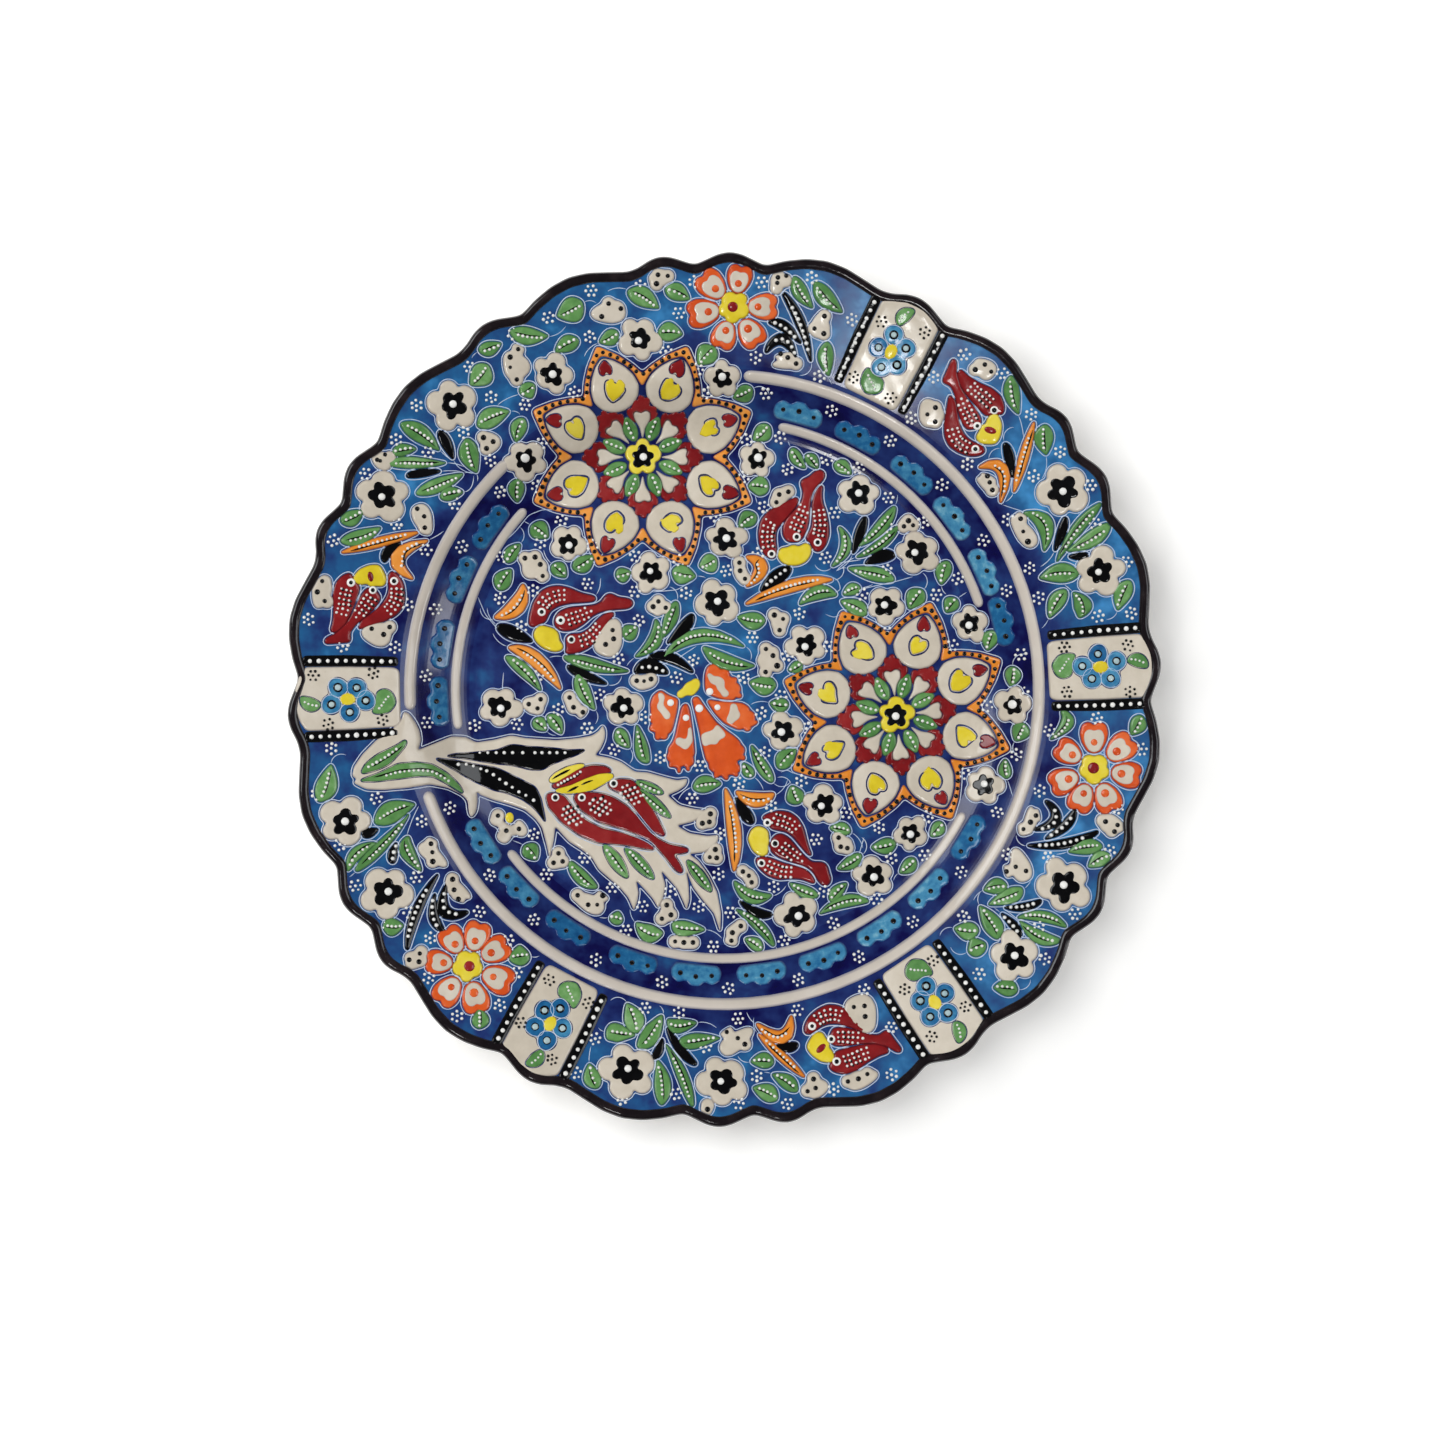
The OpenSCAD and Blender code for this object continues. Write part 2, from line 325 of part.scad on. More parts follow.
// ---- buds: centre, length, width, turn ----
rim_bud = [[27.6, 96.4, 14, 6, 100], [37.8, 94.8, 9, 3.4, 104], [50.9, 117.5, 9, 7, 90],
    [53.2, 98.2, 10.5, 9, 60], [75.2, 106.8, 9.2, 7.2, 10], [82.5, 118.9, 7, 5.5, 0],
    [79, 94.7, 10.6, 3.8, 106], [99, 118.6, 7.4, 6, 90], [106.9, 112.2, 13, 8, 80],
    [122.8, 109.6, 11, 9.4, 0], [133.5, 97.2, 8.2, 7.2, 0], [146.2, 119.3, 6.4, 6, 0],
    [150.4, 98.8, 12, 6.8, 140], [166.4, 118.6, 11.4, 7, 90], [170.9, 100, 11, 8.6, 0],
    [209.4, 95.6, 13, 5.2, 112],
    [216.6, 94.8, 11.6, 4, 106], [221.2, 117.5, 7.6, 6, 0], [267.6, 120.6, 4.6, 4.4, 0],
    [271.8, 100.3, 14.6, 6.4, 125], [283, 116.4, 8.4, 7.2, 90], [289.3, 117.4, 12.4, 6.4, 90],
    [293, 100, 11, 8.4, 0], [329.2, 98.2, 13, 7, 140], [336.6, 94.7, 10.6, 3.8, 106],
    [340.8, 117.3, 9.4, 6.8, 0]];
well_bud = [[-54.6, 35.2, 9.4, 8.6, 0], [-18.8, 23.6, 6.6, 5.6, 30], [-33, 14.6, 11, 7.4, 70], [-23, 2, 8, 5, 0],
    [16.5, 55.6, 9.6, 5.4, 42], [4.7, 33.8, 8, 4.6, 105], [52.4, 47.9, 5.6, 5, 45], [15.6, 19.6, 7.4, 6, 110],
    [12.8, 8.8, 9.4, 7.6, 60], [-54.2, -4.2, 8, 6, 20], [-43.4, -4.2, 7.4, 5, 130], [-5.2, -36.8, 7.4, 6.4, 45],
    [-3.1, -47.2, 6.6, 5.6, 90], [-47.4, -48.8, 6.2, 6, 0], [-38.6, -61, 13, 6.2, 152],
    [-16.4, -63.8, 7.2, 5.2, 80], [-11.6, -72.7, 9.6, 3.2, 174], [-65, -36.8, 6, 4.6, 70],
    [-62.8, -41.6, 6.2, 4.8, 50], [-58.2, -39.8, 6.2, 3.9, 110], [34, -44.2, 7, 6, 150],
    [7, -53.6, 8, 4.6, 140], [2.8, -69, 6.6, 4.6, 60]];
module bud(l, w) polygon([for (i = [0:14]) let (a = 24 * i, k = 1 + 0.1 * cos(3 * a))
    [k * l / 2 * cos(a), k * w / 2 * sin(a)]]);
module buds() color(cream) drape(g, m) {
    for (b = rim_bud) translate(polar(b)) rotate(b[0] + b[4]) bud(b[2], b[3]);
    for (b = well_bud) translate([b[0], b[1]]) rotate(b[4]) bud(b[2], b[3]);
}

// ---- clouds on the rise between well and rim ----
cloud_at = [13.9, 24.4, 37, 48.9, 62.1, 75, 145.2, 157.2, 170.8, 182.3, 212.2, 223.8, 236.7, 251.3, 264.3,
    277.5, 290.2, 303, 315.7, 328.8];
module band_clouds() color(cloud_blue) drape(g, m) for (a = cloud_at) rotate(a)
    polygon([[79, -6], [79, 6], [80.6, 7.1], [82.8, 6.8], [84.2, 5], [83.4, 2.6], [84.8, 1.3], [84.8, -1.3],
        [83.4, -2.6], [84.2, -5], [82.8, -6.8], [80.6, -7.1]]);

// ---- great tulip, lying from the rim to the middle of the well ----
module great_tulip_ground() color(cream) drape(g, m) polygon([[-91.5, -6.2], [-90, -6.6], [-88.3, -9],
    [-87, -11.5], [-86.5, -14.5], [-87.4, -17.2], [-82, -15], [-78, -13.3], [-74, -13.5], [-71, -15],
    [-66, -14.3], [-61, -13], [-57, -13.8], [-48, -14.4], [-42, -13.8], [-38, -13.1], [-36, -11.8],
    [-34.8, -10], [-34, -12], [-34.3, -14.4], [-35.5, -17], [-37, -18.7], [-33, -19.4], [-29.5, -20.6],
    [-27.2, -22.3], [-25.6, -23.4], [-22, -23.6], [-17, -25], [-13.5, -25.9], [-10.4, -25.3], [-11, -27.4],
    [-13, -28.8], [-16.2, -30.2], [-13, -33], [-9, -34], [-4.6, -34.6], [-6.5, -36.5], [-9, -37.8],
    [-13.5, -38.9], [-10, -41], [-5, -41.8], [-1.6, -41.5], [-1.8, -43.5], [-3.5, -45.5], [-6, -46.6],
    [-10, -47], [-7.5, -48.8], [-4.5, -53], [-2, -58], [-0.9, -64], [-1.2, -69.3], [-3, -64], [-6, -60.5],
    [-9, -56.5], [-10.8, -52], [-10.2, -56], [-10, -60], [-10.8, -63], [-11.6, -61], [-13.5, -57],
    [-18, -51.9], [-16.8, -56], [-17.6, -60], [-18.9, -62.6], [-20.5, -59.8], [-23, -57], [-25.2, -54.7],
    [-24.5, -58], [-25, -61], [-25.9, -63.2], [-27.5, -59.5], [-30, -56.6], [-33, -54], [-36, -51.4],
    [-38, -48], [-40.5, -46], [-44.5, -43.5], [-48.4, -39.2], [-48.8, -43], [-50, -48.6], [-51, -44],
    [-52.2, -39.5], [-54, -37], [-57, -34.4], [-61, -33], [-66, -31.6], [-70, -30], [-70.8, -29],
    [-70.6, -32], [-71, -35], [-72.3, -36.6], [-73, -35.4], [-73.4, -31.6], [-75, -30], [-79, -28],
    [-84, -27], [-90, -28], [-97, -28.6], [-102, -28.4], [-105.6, -26.6], [-104.6, -25.3], [-106, -24.8],
    [-105.5, -22], [-103, -18.3], [-99, -14.2], [-95, -11.5], [-92, -8.5]]);
module great_tulip_petals() color(red) drape(m, t) {
    polygon([[-50.9, -30], [-48.6, -29.8], [-46, -30.6], [-43.5, -34], [-40, -37.5], [-35, -40], [-29, -41.3],
        [-23, -43.5], [-19.8, -45.6], [-22, -45.3], [-29, -44], [-36, -43.5], [-41, -41.5], [-46, -38],
        [-50, -33.5]]);
    polygon([[-43, -31], [-42.5, -30], [-40, -29.5], [-35, -30], [-32, -31], [-28, -33.5], [-25, -36.5],
        [-21.5, -41], [-19, -43], [-16, -44.5], [-12, -45.3], [-10, -46], [-12.5, -46.6], [-15, -46.5],
        [-14.5, -47.8], [-12.6, -50.5], [-12, -52.4], [-13.7, -51.5], [-16, -48.5], [-18.5, -45.5],
        [-21, -43], [-25, -41], [-30, -39.3], [-36, -37.5], [-41, -34]]);
    polygon([[-33.3, -26.8], [-30, -25.8], [-26.5, -26], [-24, -28.5], [-21.5, -33], [-19, -37.5],
        [-17, -41.8], [-20, -40.5], [-23, -37], [-26, -33], [-29, -29.5], [-32.5, -28]]);
    polygon([[-49.5, -27.7], [-46.5, -25.7], [-42, -23.1], [-38, -21.9], [-34, -22.2], [-32.2, -23.4],
        [-36, -23.8], [-40, -25.2], [-44, -27], [-48, -28]]);
}
module great_tulip_sepals() color(yellow) drape(m, t) {
    polygon([[-50.2, -25.8], [-48.5, -24], [-45, -22.2], [-41.5, -21.3], [-39.5, -21.5], [-42, -22.7],
        [-45, -24.6], [-48, -26.3], [-50, -26.6]]);
    polygon([[-48.8, -28.8], [-44, -27.5], [-40, -25.7], [-36, -24.2], [-32, -24], [-31.5, -24.8],
        [-34, -26.5], [-38, -28.7], [-43, -29.5], [-47, -29.5]]);
}
module great_tulip_leaves() color(green) drape(m, t) {
    leaves([[-26, -26, -17, -29.8, 2.6], [-25.8, -27.6, -14.9, -37, 3], [-34.8, -43.8, -27.4, -54.2, 3.6],
        [-28.8, -44.8, -19.8, -54.6, 3.4], [-11, -48.4, -3.4, -58.2, 3]], false);
    polygon([[-90.5, -14], [-93, -15.8], [-98.5, -18.4], [-102, -21], [-103.6, -24], [-99, -22.8],
        [-95.5, -21.2], [-92.6, -18], [-90.6, -15.6]]);
    polygon([[-104, -26], [-98, -23.7], [-93, -21.2], [-88, -20.8], [-83.5, -21.3], [-79, -24], [-76, -27],
        [-74.3, -29.8], [-79, -26.8], [-83, -24.6], [-87, -24.5], [-93, -25.3], [-99, -26]]);
}
module great_tulip_blades() color(black) drape(m, t) {
    polygon([[-80, -18.9], [-76, -18.2], [-72, -18], [-65, -17.3], [-61, -15.6], [-56, -16.3], [-50, -16.6],
        [-44, -17.3], [-39.2, -17], [-42, -18.5], [-46, -20], [-49.5, -21.3], [-52, -22.9], [-55, -23],
        [-58, -22.2], [-62, -21.4], [-66, -21.1], [-72, -20]]);
    polygon([[-83, -19.4], [-76, -20.3], [-70, -21.6], [-65.5, -22.2], [-62, -23.8], [-58, -25.8],
        [-54, -27.8], [-52.5, -31], [-51.5, -36], [-51, -38.5], [-52.5, -36], [-55, -33.3], [-58, -31.2],
        [-62, -29.6], [-66, -28.7], [-72, -26], [-77, -23]]);
}

// ---- small tulips: three on the rim, in degrees past the cup and radius; three in the well, x and y ----
tulip_rim_at = [42.2, 160.2, 283];
rim_petals = [[[2.5, 111.5], [3.2, 113.2], [4.5, 114.5], [6.2, 114.4], [8, 113.3], [10, 112.8], [11.4, 113.2],
    [11.4, 111.7], [10, 109.6], [8.2, 108.6], [6, 108], [4, 107.9], [3.6, 109.5], [3, 110.5]],
    [[3.6, 104.2], [4.8, 101.4], [6.5, 102.2], [8.2, 104.3], [9.7, 106.6], [11.1, 108], [12.5, 107.3],
    [12.7, 109.5], [13.2, 114.4], [12.6, 114.4], [11.7, 111.7], [9.9, 109], [8.2, 107.8], [5.9, 107],
    [4.2, 105.9]],
    [[0.2, 100.6], [1.3, 100.9], [2.8, 99.6], [4.2, 99.4], [5.9, 100.3], [7.7, 102.7], [9, 105], [10.4, 105.6],
    [9.4, 102.2], [8.2, 98.5], [6.8, 95.9], [5.1, 94.6], [3.3, 95.1], [1.6, 96.4], [0.5, 98.5]]];
rim_cup = [[0, 104.4], [0.5, 106.8], [1.6, 109.2], [3.1, 110.3], [3.7, 109], [3.5, 107], [3, 105.9],
    [3.6, 105.2], [3.1, 103.6], [2.9, 101.5], [1.8, 101.2], [0.8, 102.7]];
function on_rim(pts, a) = [for (p = pts) polar([a + p[0], p[1]])];
well_petals = [[[-55.8, 18.4], [-55.6, 21], [-54.5, 25], [-52.5, 28], [-50, 29.3], [-47.5, 29.6], [-44.5, 29],
    [-41, 27.4], [-38, 26.8], [-36.8, 26.4], [-37, 25.6], [-40, 25.3], [-44, 25.1], [-47.5, 24.3],
    [-50, 22.8], [-51, 20.8], [-51.3, 19.6], [-53, 19], [-54.5, 18.2]],
    [[-48.2, 20.8], [-47, 22.3], [-44.5, 23.3], [-41, 23.6], [-37, 24], [-35, 25], [-34, 26.8], [-32.7, 27.5],
    [-30.5, 26.2], [-28, 26], [-26.3, 25.4], [-26.4, 24.2], [-27.5, 23.5], [-32, 23.2], [-35.5, 22.6],
    [-38, 21.3], [-40.5, 19], [-43, 17.4], [-46, 17], [-48, 17.8], [-48.5, 19.2]],
    [[-45.3, 14.9], [-44, 15.8], [-41, 15.9], [-38.5, 17.3], [-36.5, 19.6], [-34.5, 21.4], [-32.5, 22.1],
    [-31.4, 21.9], [-33.5, 19.5], [-35, 16.8], [-37, 13.8], [-39.5, 11.9], [-42.5, 10.7], [-45.5, 10.4],
    [-44.9, 12]],
    [[13.6, 37.5], [11.8, 38.6], [10.2, 41.5], [9.9, 45], [10.6, 48.5], [12.5, 50.8], [15.5, 52.7], [18.3, 54],
    [20.5, 55], [21.2, 54.7], [20.8, 53.2], [18.8, 50.5], [16.6, 48.2], [14.7, 46], [14.4, 43.5],
    [14.7, 41], [14.8, 39.3], [14.4, 37.9]],
    [[21.2, 42.5], [18.2, 42.5], [17, 44.2], [16.9, 46.8], [18.2, 49.3], [20.5, 51.5], [22.4, 54],
    [22.8, 56.8], [22.2, 58.5], [21.9, 59.6], [23, 60.3], [24.3, 60.6], [25.8, 62.2], [27.3, 62.9],
    [28.6, 62.2], [28.5, 60.8], [27.2, 59.3], [25.5, 57.5], [24.6, 55], [24.3, 52], [24, 48.8],
    [23.4, 45.8], [22.3, 43.6]],
    [[26.5, 39.6], [25.3, 40.6], [25, 42], [23.4, 43.1], [24, 44.5], [25.2, 46.5], [25.4, 50], [25.2, 53],
    [25.9, 56], [27, 57.8], [28.1, 58.7], [27.7, 56.5], [27.9, 53.5], [28.9, 51], [29.6, 47.5],
    [29.8, 44.5], [29, 41.8], [27.7, 40]],
    [[10.7, -36.8], [12.5, -35.6], [15.5, -34.8], [18.5, -35.2], [20.8, -36.8], [22.4, -39.5], [23.3, -43],
    [24.2, -46], [25, -47.6], [23.7, -46.6], [21.7, -44.2], [19.8, -41.8], [17.8, -40.4], [15, -39.9],
    [13, -39.4], [13.3, -38.2], [12, -36.9]],
    [[13.4, -43.5], [14.8, -41.6], [16.5, -41.4], [18.6, -42.8], [20.6, -45.2], [22.8, -47.8], [25, -49.6],
    [28.5, -49.6], [29.5, -51], [29.6, -52.6], [30.4, -54], [29.8, -55.7], [28.3, -56], [27, -54.5],
    [25.6, -52], [24.4, -50.8], [22, -49.9], [19, -49], [16, -47.9], [13.9, -46.5], [13.1, -45]],
    [[9, -48.4], [11, -47.9], [13.5, -48.5], [16.8, -49.8], [20, -50.6], [22.8, -51.4], [25, -53.2],
    [26, -55.5], [24.5, -54.8], [22, -53.9], [19, -53.7], [15.5, -54.1], [12.5, -53], [10, -50.8]]];
well_cups = [[[-54.6, 15.5], [-54, 17.3], [-52.5, 18.4], [-51, 17.9], [-49.5, 17.6], [-48.2, 16.9],
    [-47.4, 15.5], [-47.6, 14], [-46.4, 13], [-46.2, 12], [-47, 11.3], [-49, 11.1], [-51.5, 12],
    [-53.5, 13.5]],
    [[15.3, 38.6], [16, 40.2], [17.2, 40.7], [17.8, 40.3], [19, 41.2], [20.2, 41.4], [21.4, 40.6],
    [22.4, 41.5], [23.5, 42], [24.8, 41], [24.6, 38.8], [23.3, 36.8], [21, 35.8], [18.2, 35.8],
    [16.3, 36.8]],
    [[6.9, -42.8], [7.8, -40.2], [9.5, -39.1], [11.5, -39.7], [12.6, -40.8], [12.3, -42], [12.8, -43.2],
    [12.2, -44.8], [12.5, -46], [12, -47.3], [10.3, -47.5], [8.3, -46]]];
module tulip_petals() color(red) drape(g, m) {
    for (a = tulip_rim_at, p = rim_petals) polygon(on_rim(p, a));
    for (p = well_petals) polygon(p);
}
module tulip_cups() color(yellow) drape(g, m) {
    for (a = tulip_rim_at) polygon(on_rim(rim_cup, a));
    for (p = well_cups) polygon(p);
}

// ---- carnation ----
module carnation_petals() color(orange) lay(g, m) {
    polygon([[-18.2, -0.3], [-16.5, -1.6], [-13.4, -2.8], [-13.8, -6], [-15, -11], [-16.3, -13.5],
        [-18.3, -14.6], [-19.5, -14], [-20, -12.7], [-21.2, -11.5], [-21.2, -9.5], [-20.8, -6], [-21, -4],
        [-20.2, -1.8]]);
    polygon([[-10.9, -4], [-10.2, -6], [-9.6, -10], [-9, -15], [-8.7, -19.5], [-9.5, -22.5], [-10.3, -23.3],
        [-11.3, -22], [-11.6, -21], [-12.3, -23], [-13.2, -23.8], [-14, -22.6], [-14.6, -21.3],
        [-15.5, -22.2], [-16.3, -20.5], [-16, -17], [-14.5, -15], [-13.8, -13], [-12.7, -8], [-12, -5]]);
    polygon([[-9, -2.7], [-7.8, -2], [-5.5, -5.5], [-2.5, -9.5], [0.5, -12], [3, -13.7], [5.2, -16], [6.1, -19],
        [5.3, -20.3], [4, -20], [4.3, -22.5], [4.5, -24], [3.5, -24.7], [2, -24.2], [1, -25.7],
        [-0.5, -25.2], [-1.3, -24.8], [-2.5, -25.2], [-3.5, -23.7], [-5, -20], [-6, -16], [-7, -11],
        [-8.3, -5.5]]);
    polygon([[-4.8, -3], [-2, -3.5], [2, -3.8], [5, -4], [7.5, -5.5], [8.5, -7.3], [9.7, -9], [8.5, -10],
        [8, -11.2], [6, -11.8], [3, -10.8], [0, -9.2], [-2.5, -6.5]]);
    polygon([[-5.3, 1], [-5.3, 4], [-4.8, 6.3], [-3.3, 7.3], [-2, 6.8], [-1.3, 5.4], [0, 5.9], [1.2, 5.2],
        [2, 3.4], [3.3, 3.4], [4, 2.4], [4.2, 0.7], [5, -0.5], [4.8, -2], [3.5, -2.7], [0, -2.6],
        [-3, -1.7], [-5, -0.7]]);
}
module carnation_patches() color(cream) lay(m, t) {
    polygon([[-18.6, -0.6], [-17, -1.8], [-17.4, -2.8], [-17.8, -4.4], [-16.6, -5.6], [-15.4, -7],
        [-15.8, -8.4], [-17, -8.4], [-17.8, -6.8], [-19.4, -5], [-18.9, -3.8], [-18.2, -3.2], [-19, -1.8]]);
    polygon([[-13.7, -13.8], [-12.6, -13.6], [-11.4, -14.6], [-10.4, -13.8], [-10.2, -10.4], [-9.6, -10.6],
        [-9.2, -15], [-10, -15.8], [-10.6, -17], [-11.6, -17], [-12.6, -16], [-14, -15.4]]);
    polygon([[-6.6, -12.8], [-5, -12.2], [-3, -11.6], [-2.2, -9.9], [0.4, -12.8], [0, -13.7], [-1.6, -14],
        [-2, -15.5], [-3, -15.6], [-4, -15.2], [-5.4, -16.2], [-6, -16]]);
    polygon([[1.8, -4], [3.6, -4.2], [3.6, -5.8], [4.6, -7], [4, -8.4], [2.6, -8.8], [2.4, -10], [0.4, -8.8],
        [1.2, -7.6], [1.8, -5.8]]);
    polygon([[-5, 4.6], [-3.8, 4.8], [-3.4, 3.6], [-1.6, 3.8], [0, 2.8], [-0.2, 0.2], [1.2, -0.4], [1.2, -1.8],
        [-0.4, -2], [-1, -0.6], [-2.2, 0.4], [-2, 1.6], [-3.8, 1.8]]);
}
module carnation_cup() color(yellow) lay(g, m) polygon([[-13.6, -1.2], [-13.3, -0.4], [-12, 0], [-11, 1.8],
    [-10, 2.3], [-9.3, 2.2], [-8.9, 3.1], [-8, 3.3], [-7.2, 2.8], [-7, 1.5], [-7.4, 0.3], [-8.3, -0.7],
    [-8.8, -1.4], [-9.8, -1.7], [-10.8, -1.1], [-11.6, -2], [-12.8, -2.5], [-13.3, -2.2]]);

plate_body();
rim_edge_band();
rim_ground();
band_ground();
well_ground();
outer_ring();
inner_ring();
rim_panels();
panel_bars();
panel_petals();
panel_centres();
panel_leaves();
rosette_bands();
rosette_petals();
rosette_hearts();
rosette_darts();
rosette_trefoils();
trefoil_bases();
rosette_leaves();
rosette_centres();
great_tulip_ground();
great_tulip_petals();
great_tulip_sepals();
great_tulip_leaves();
great_tulip_blades();
tulip_petals();
tulip_cups();
carnation_petals();
carnation_patches();
carnation_cup();
ring_flower_petals();
ring_flower_hearts();
ring_flower_centres();
rim_daisies();
well_daisies();
daisy_hearts();
rim_leaves();
well_leaves();
amber_leaves();
dark_leaves();
buds();
band_clouds();
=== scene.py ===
import math

import bmesh
import bpy
import numpy as np
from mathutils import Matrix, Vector
from mathutils.geometry import delaunay_2d_cdt
from mathutils.kdtree import KDTree


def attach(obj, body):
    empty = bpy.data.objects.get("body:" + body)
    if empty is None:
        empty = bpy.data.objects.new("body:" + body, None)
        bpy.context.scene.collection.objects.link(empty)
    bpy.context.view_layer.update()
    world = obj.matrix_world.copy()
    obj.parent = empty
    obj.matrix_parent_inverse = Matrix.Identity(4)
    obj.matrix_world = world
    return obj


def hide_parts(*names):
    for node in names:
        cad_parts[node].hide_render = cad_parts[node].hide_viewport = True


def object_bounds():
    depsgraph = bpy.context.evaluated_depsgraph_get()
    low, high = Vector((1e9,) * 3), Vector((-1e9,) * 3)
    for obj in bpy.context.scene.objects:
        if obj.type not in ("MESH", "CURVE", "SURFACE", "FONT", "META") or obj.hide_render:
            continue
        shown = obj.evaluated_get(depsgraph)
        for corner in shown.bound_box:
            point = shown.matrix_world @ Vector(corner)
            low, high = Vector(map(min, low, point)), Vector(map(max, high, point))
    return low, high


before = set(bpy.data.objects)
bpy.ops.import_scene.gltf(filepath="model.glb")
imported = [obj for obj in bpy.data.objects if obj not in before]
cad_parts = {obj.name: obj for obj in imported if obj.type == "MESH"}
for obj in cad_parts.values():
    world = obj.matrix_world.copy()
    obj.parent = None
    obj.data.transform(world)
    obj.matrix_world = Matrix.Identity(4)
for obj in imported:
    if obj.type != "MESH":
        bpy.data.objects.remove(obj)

CAD_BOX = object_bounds()
MM = 0.001  # the lists and helpers below are in millimetres, as the pattern was drawn
RNG = np.random.default_rng(11)

# heights of the glaze above the blue ground, in millimetres
RELIEF = 0.55
OVERLAY = 0.28
LINE = 0.16
BEAD = 0.42
SUNK = 0.15  # how far a deposit reaches down into what it lies on


# ---- the face of the plate ----
def tops(node):
    """Sorted (radius, height) of a CAD node's highest points, in millimetres."""
    found = {}
    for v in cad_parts[node].data.vertices:
        r = round(math.hypot(v.co.x, v.co.y) / MM, 1)
        found[r] = max(found.get(r, 0), v.co.z / MM)
    return sorted(found.items())


RISE = tops("band_ground")
SLOPE = tops("rim_ground")
PROFILE = np.array([(0, RISE[0][1])] + RISE + [SLOPE[-1]])
GRADE = (PROFILE[-1, 1] - PROFILE[-2, 1]) / (PROFILE[-1, 0] - PROFILE[-2, 0])
PROFILE = np.vstack([PROFILE, PROFILE[-1] + np.array([20, 20 * GRADE])])
RISE_IN, RISE_OUT = RISE[0][0], RISE[-1][0]
EASE = np.linspace(-2.4, 2.4, 9)  # shifts that the profile is averaged over


def face_z(x, y):
    """Height of the blue ground, with the kinks of the CAD profile eased."""
    r = np.hypot(x, y)
    return np.mean([np.interp(np.abs(r + e), PROFILE[:, 0], PROFILE[:, 1]) for e in EASE], axis=0)


def step_up(x, a, b):
    """A smooth step from 0 at a to 1 at b."""
    t = np.clip((x - a) / (b - a), 0, 1)
    return t * t * (3 - 2 * t)


def polar(rows):
    """Rows of degrees and radius as x and y."""
    rows = np.array(rows, float)
    a, r = np.radians(rows[:, 0]), rows[:, 1]
    return np.column_stack([r * np.cos(a), r * np.sin(a)])


def heading(v):
    """The angle of a vector."""
    return math.atan2(v[1], v[0])


def turned(points, a):
    """The points turned about the origin."""
    return points @ np.array([(math.cos(a), math.sin(a)), (-math.sin(a), math.cos(a))])


# ---- outlines taken from the CAD deposits ----
AREAS = {}  # for each kind of deposit its outlines, each a list of loops with the outer one first


def middles(name):
    """The middle of each deposit of one kind."""
    return [loops[0].mean(0) for loops in AREAS[name]]


def nearest(name, point):
    """The middle of the deposit of one kind that is nearest to a point."""
    return min(middles(name), key=lambda q: np.hypot(*(q - point)))


def even(loop, step, soft, closed=True):
    """The line at even steps, with its corners eased soft times."""
    p = np.vstack([loop, loop[:1]]) if closed else np.array(loop)
    far = np.concatenate([[0], np.cumsum(np.hypot(*np.diff(p, axis=0).T))])
    n = max(9, round(far[-1] / step))
    at = np.linspace(0, far[-1], n, endpoint=not closed)
    p = np.column_stack([np.interp(at, far, p[:, 0]), np.interp(at, far, p[:, 1])])
    for _ in range(soft):
        q = (np.roll(p, 1, 0) + 2 * p + np.roll(p, -1, 0)) / 4
        if not closed:
            q[[0, -1]] = p[[0, -1]]
        p = q
    return p


def area(loop):
    """The area inside a loop, which is positive when it runs counter-clockwise."""
    x, y = loop.T
    return (x * np.roll(y, -1) - y * np.roll(x, -1)).sum() / 2


def outlines(node, step=0.5, soft=2):
    """Each raised area of a CAD node seen from above, as loops with the outer one first."""
    bm = bmesh.new()
    bm.from_mesh(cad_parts[node].data)
    bmesh.ops.remove_doubles(bm, verts=bm.verts, dist=5e-6)
    bm.normal_update()
    top = dict.fromkeys(f for f in bm.faces if f.normal.z > 0.3)  # a set would lose the order of the faces
    after, group = {}, {}
    for f in top:
        if f in group:
            continue
        group[f], todo = len(after), [f]
        steps = after.setdefault(group[f], {})
        while todo:
            g = todo.pop()
            for c in g.loops:
                near = [h for h in c.edge.link_faces if h in top and h is not g]
                if not near:
                    steps.setdefault(c.vert, []).append(c.link_loop_next.vert)
                for h in near:
                    if h not in group:
                        group[h] = group[f]
                        todo.append(h)
    areas = []
    for steps in after.values():
        loops = []
        while steps:
            start = v = next(iter(steps))
            loop = []
            while v in steps:
                loop.append((v.co.x / MM, v.co.y / MM))
                follow = steps[v]
                last, v = v, follow.pop()
                if not follow:
                    del steps[last]
                if v is start:
                    break
            if len(loop) > 3:
                loop = np.array(loop)
                if abs(area(loop)) > 0.15:
                    loops.append(even(loop, step, soft))
        if loops:
            areas.append(sorted(loops, key=lambda q: -abs(area(q))))
    bm.free()
    return sorted(areas, key=lambda q: (round(q[0][:, 0].mean(), 1), round(q[0][:, 1].mean(), 1)))


def gap(points, loops, part=1200):
    """Distance of each point from the nearest outline."""
    best = np.full(len(points), 1e9)
    for a in loops:
        ab = np.roll(a, -1, 0) - a
        long2 = np.maximum((ab**2).sum(1), 1e-12)
        for k in range(0, len(points), part):
            ap = points[k : k + part, None] - a[None]
            t = np.clip((ap * ab).sum(2) / long2, 0, 1)
            d = np.sqrt(((ap - t[..., None] * ab) ** 2).sum(2)).min(1)
            best[k : k + part] = np.minimum(best[k : k + part], d)
    return best


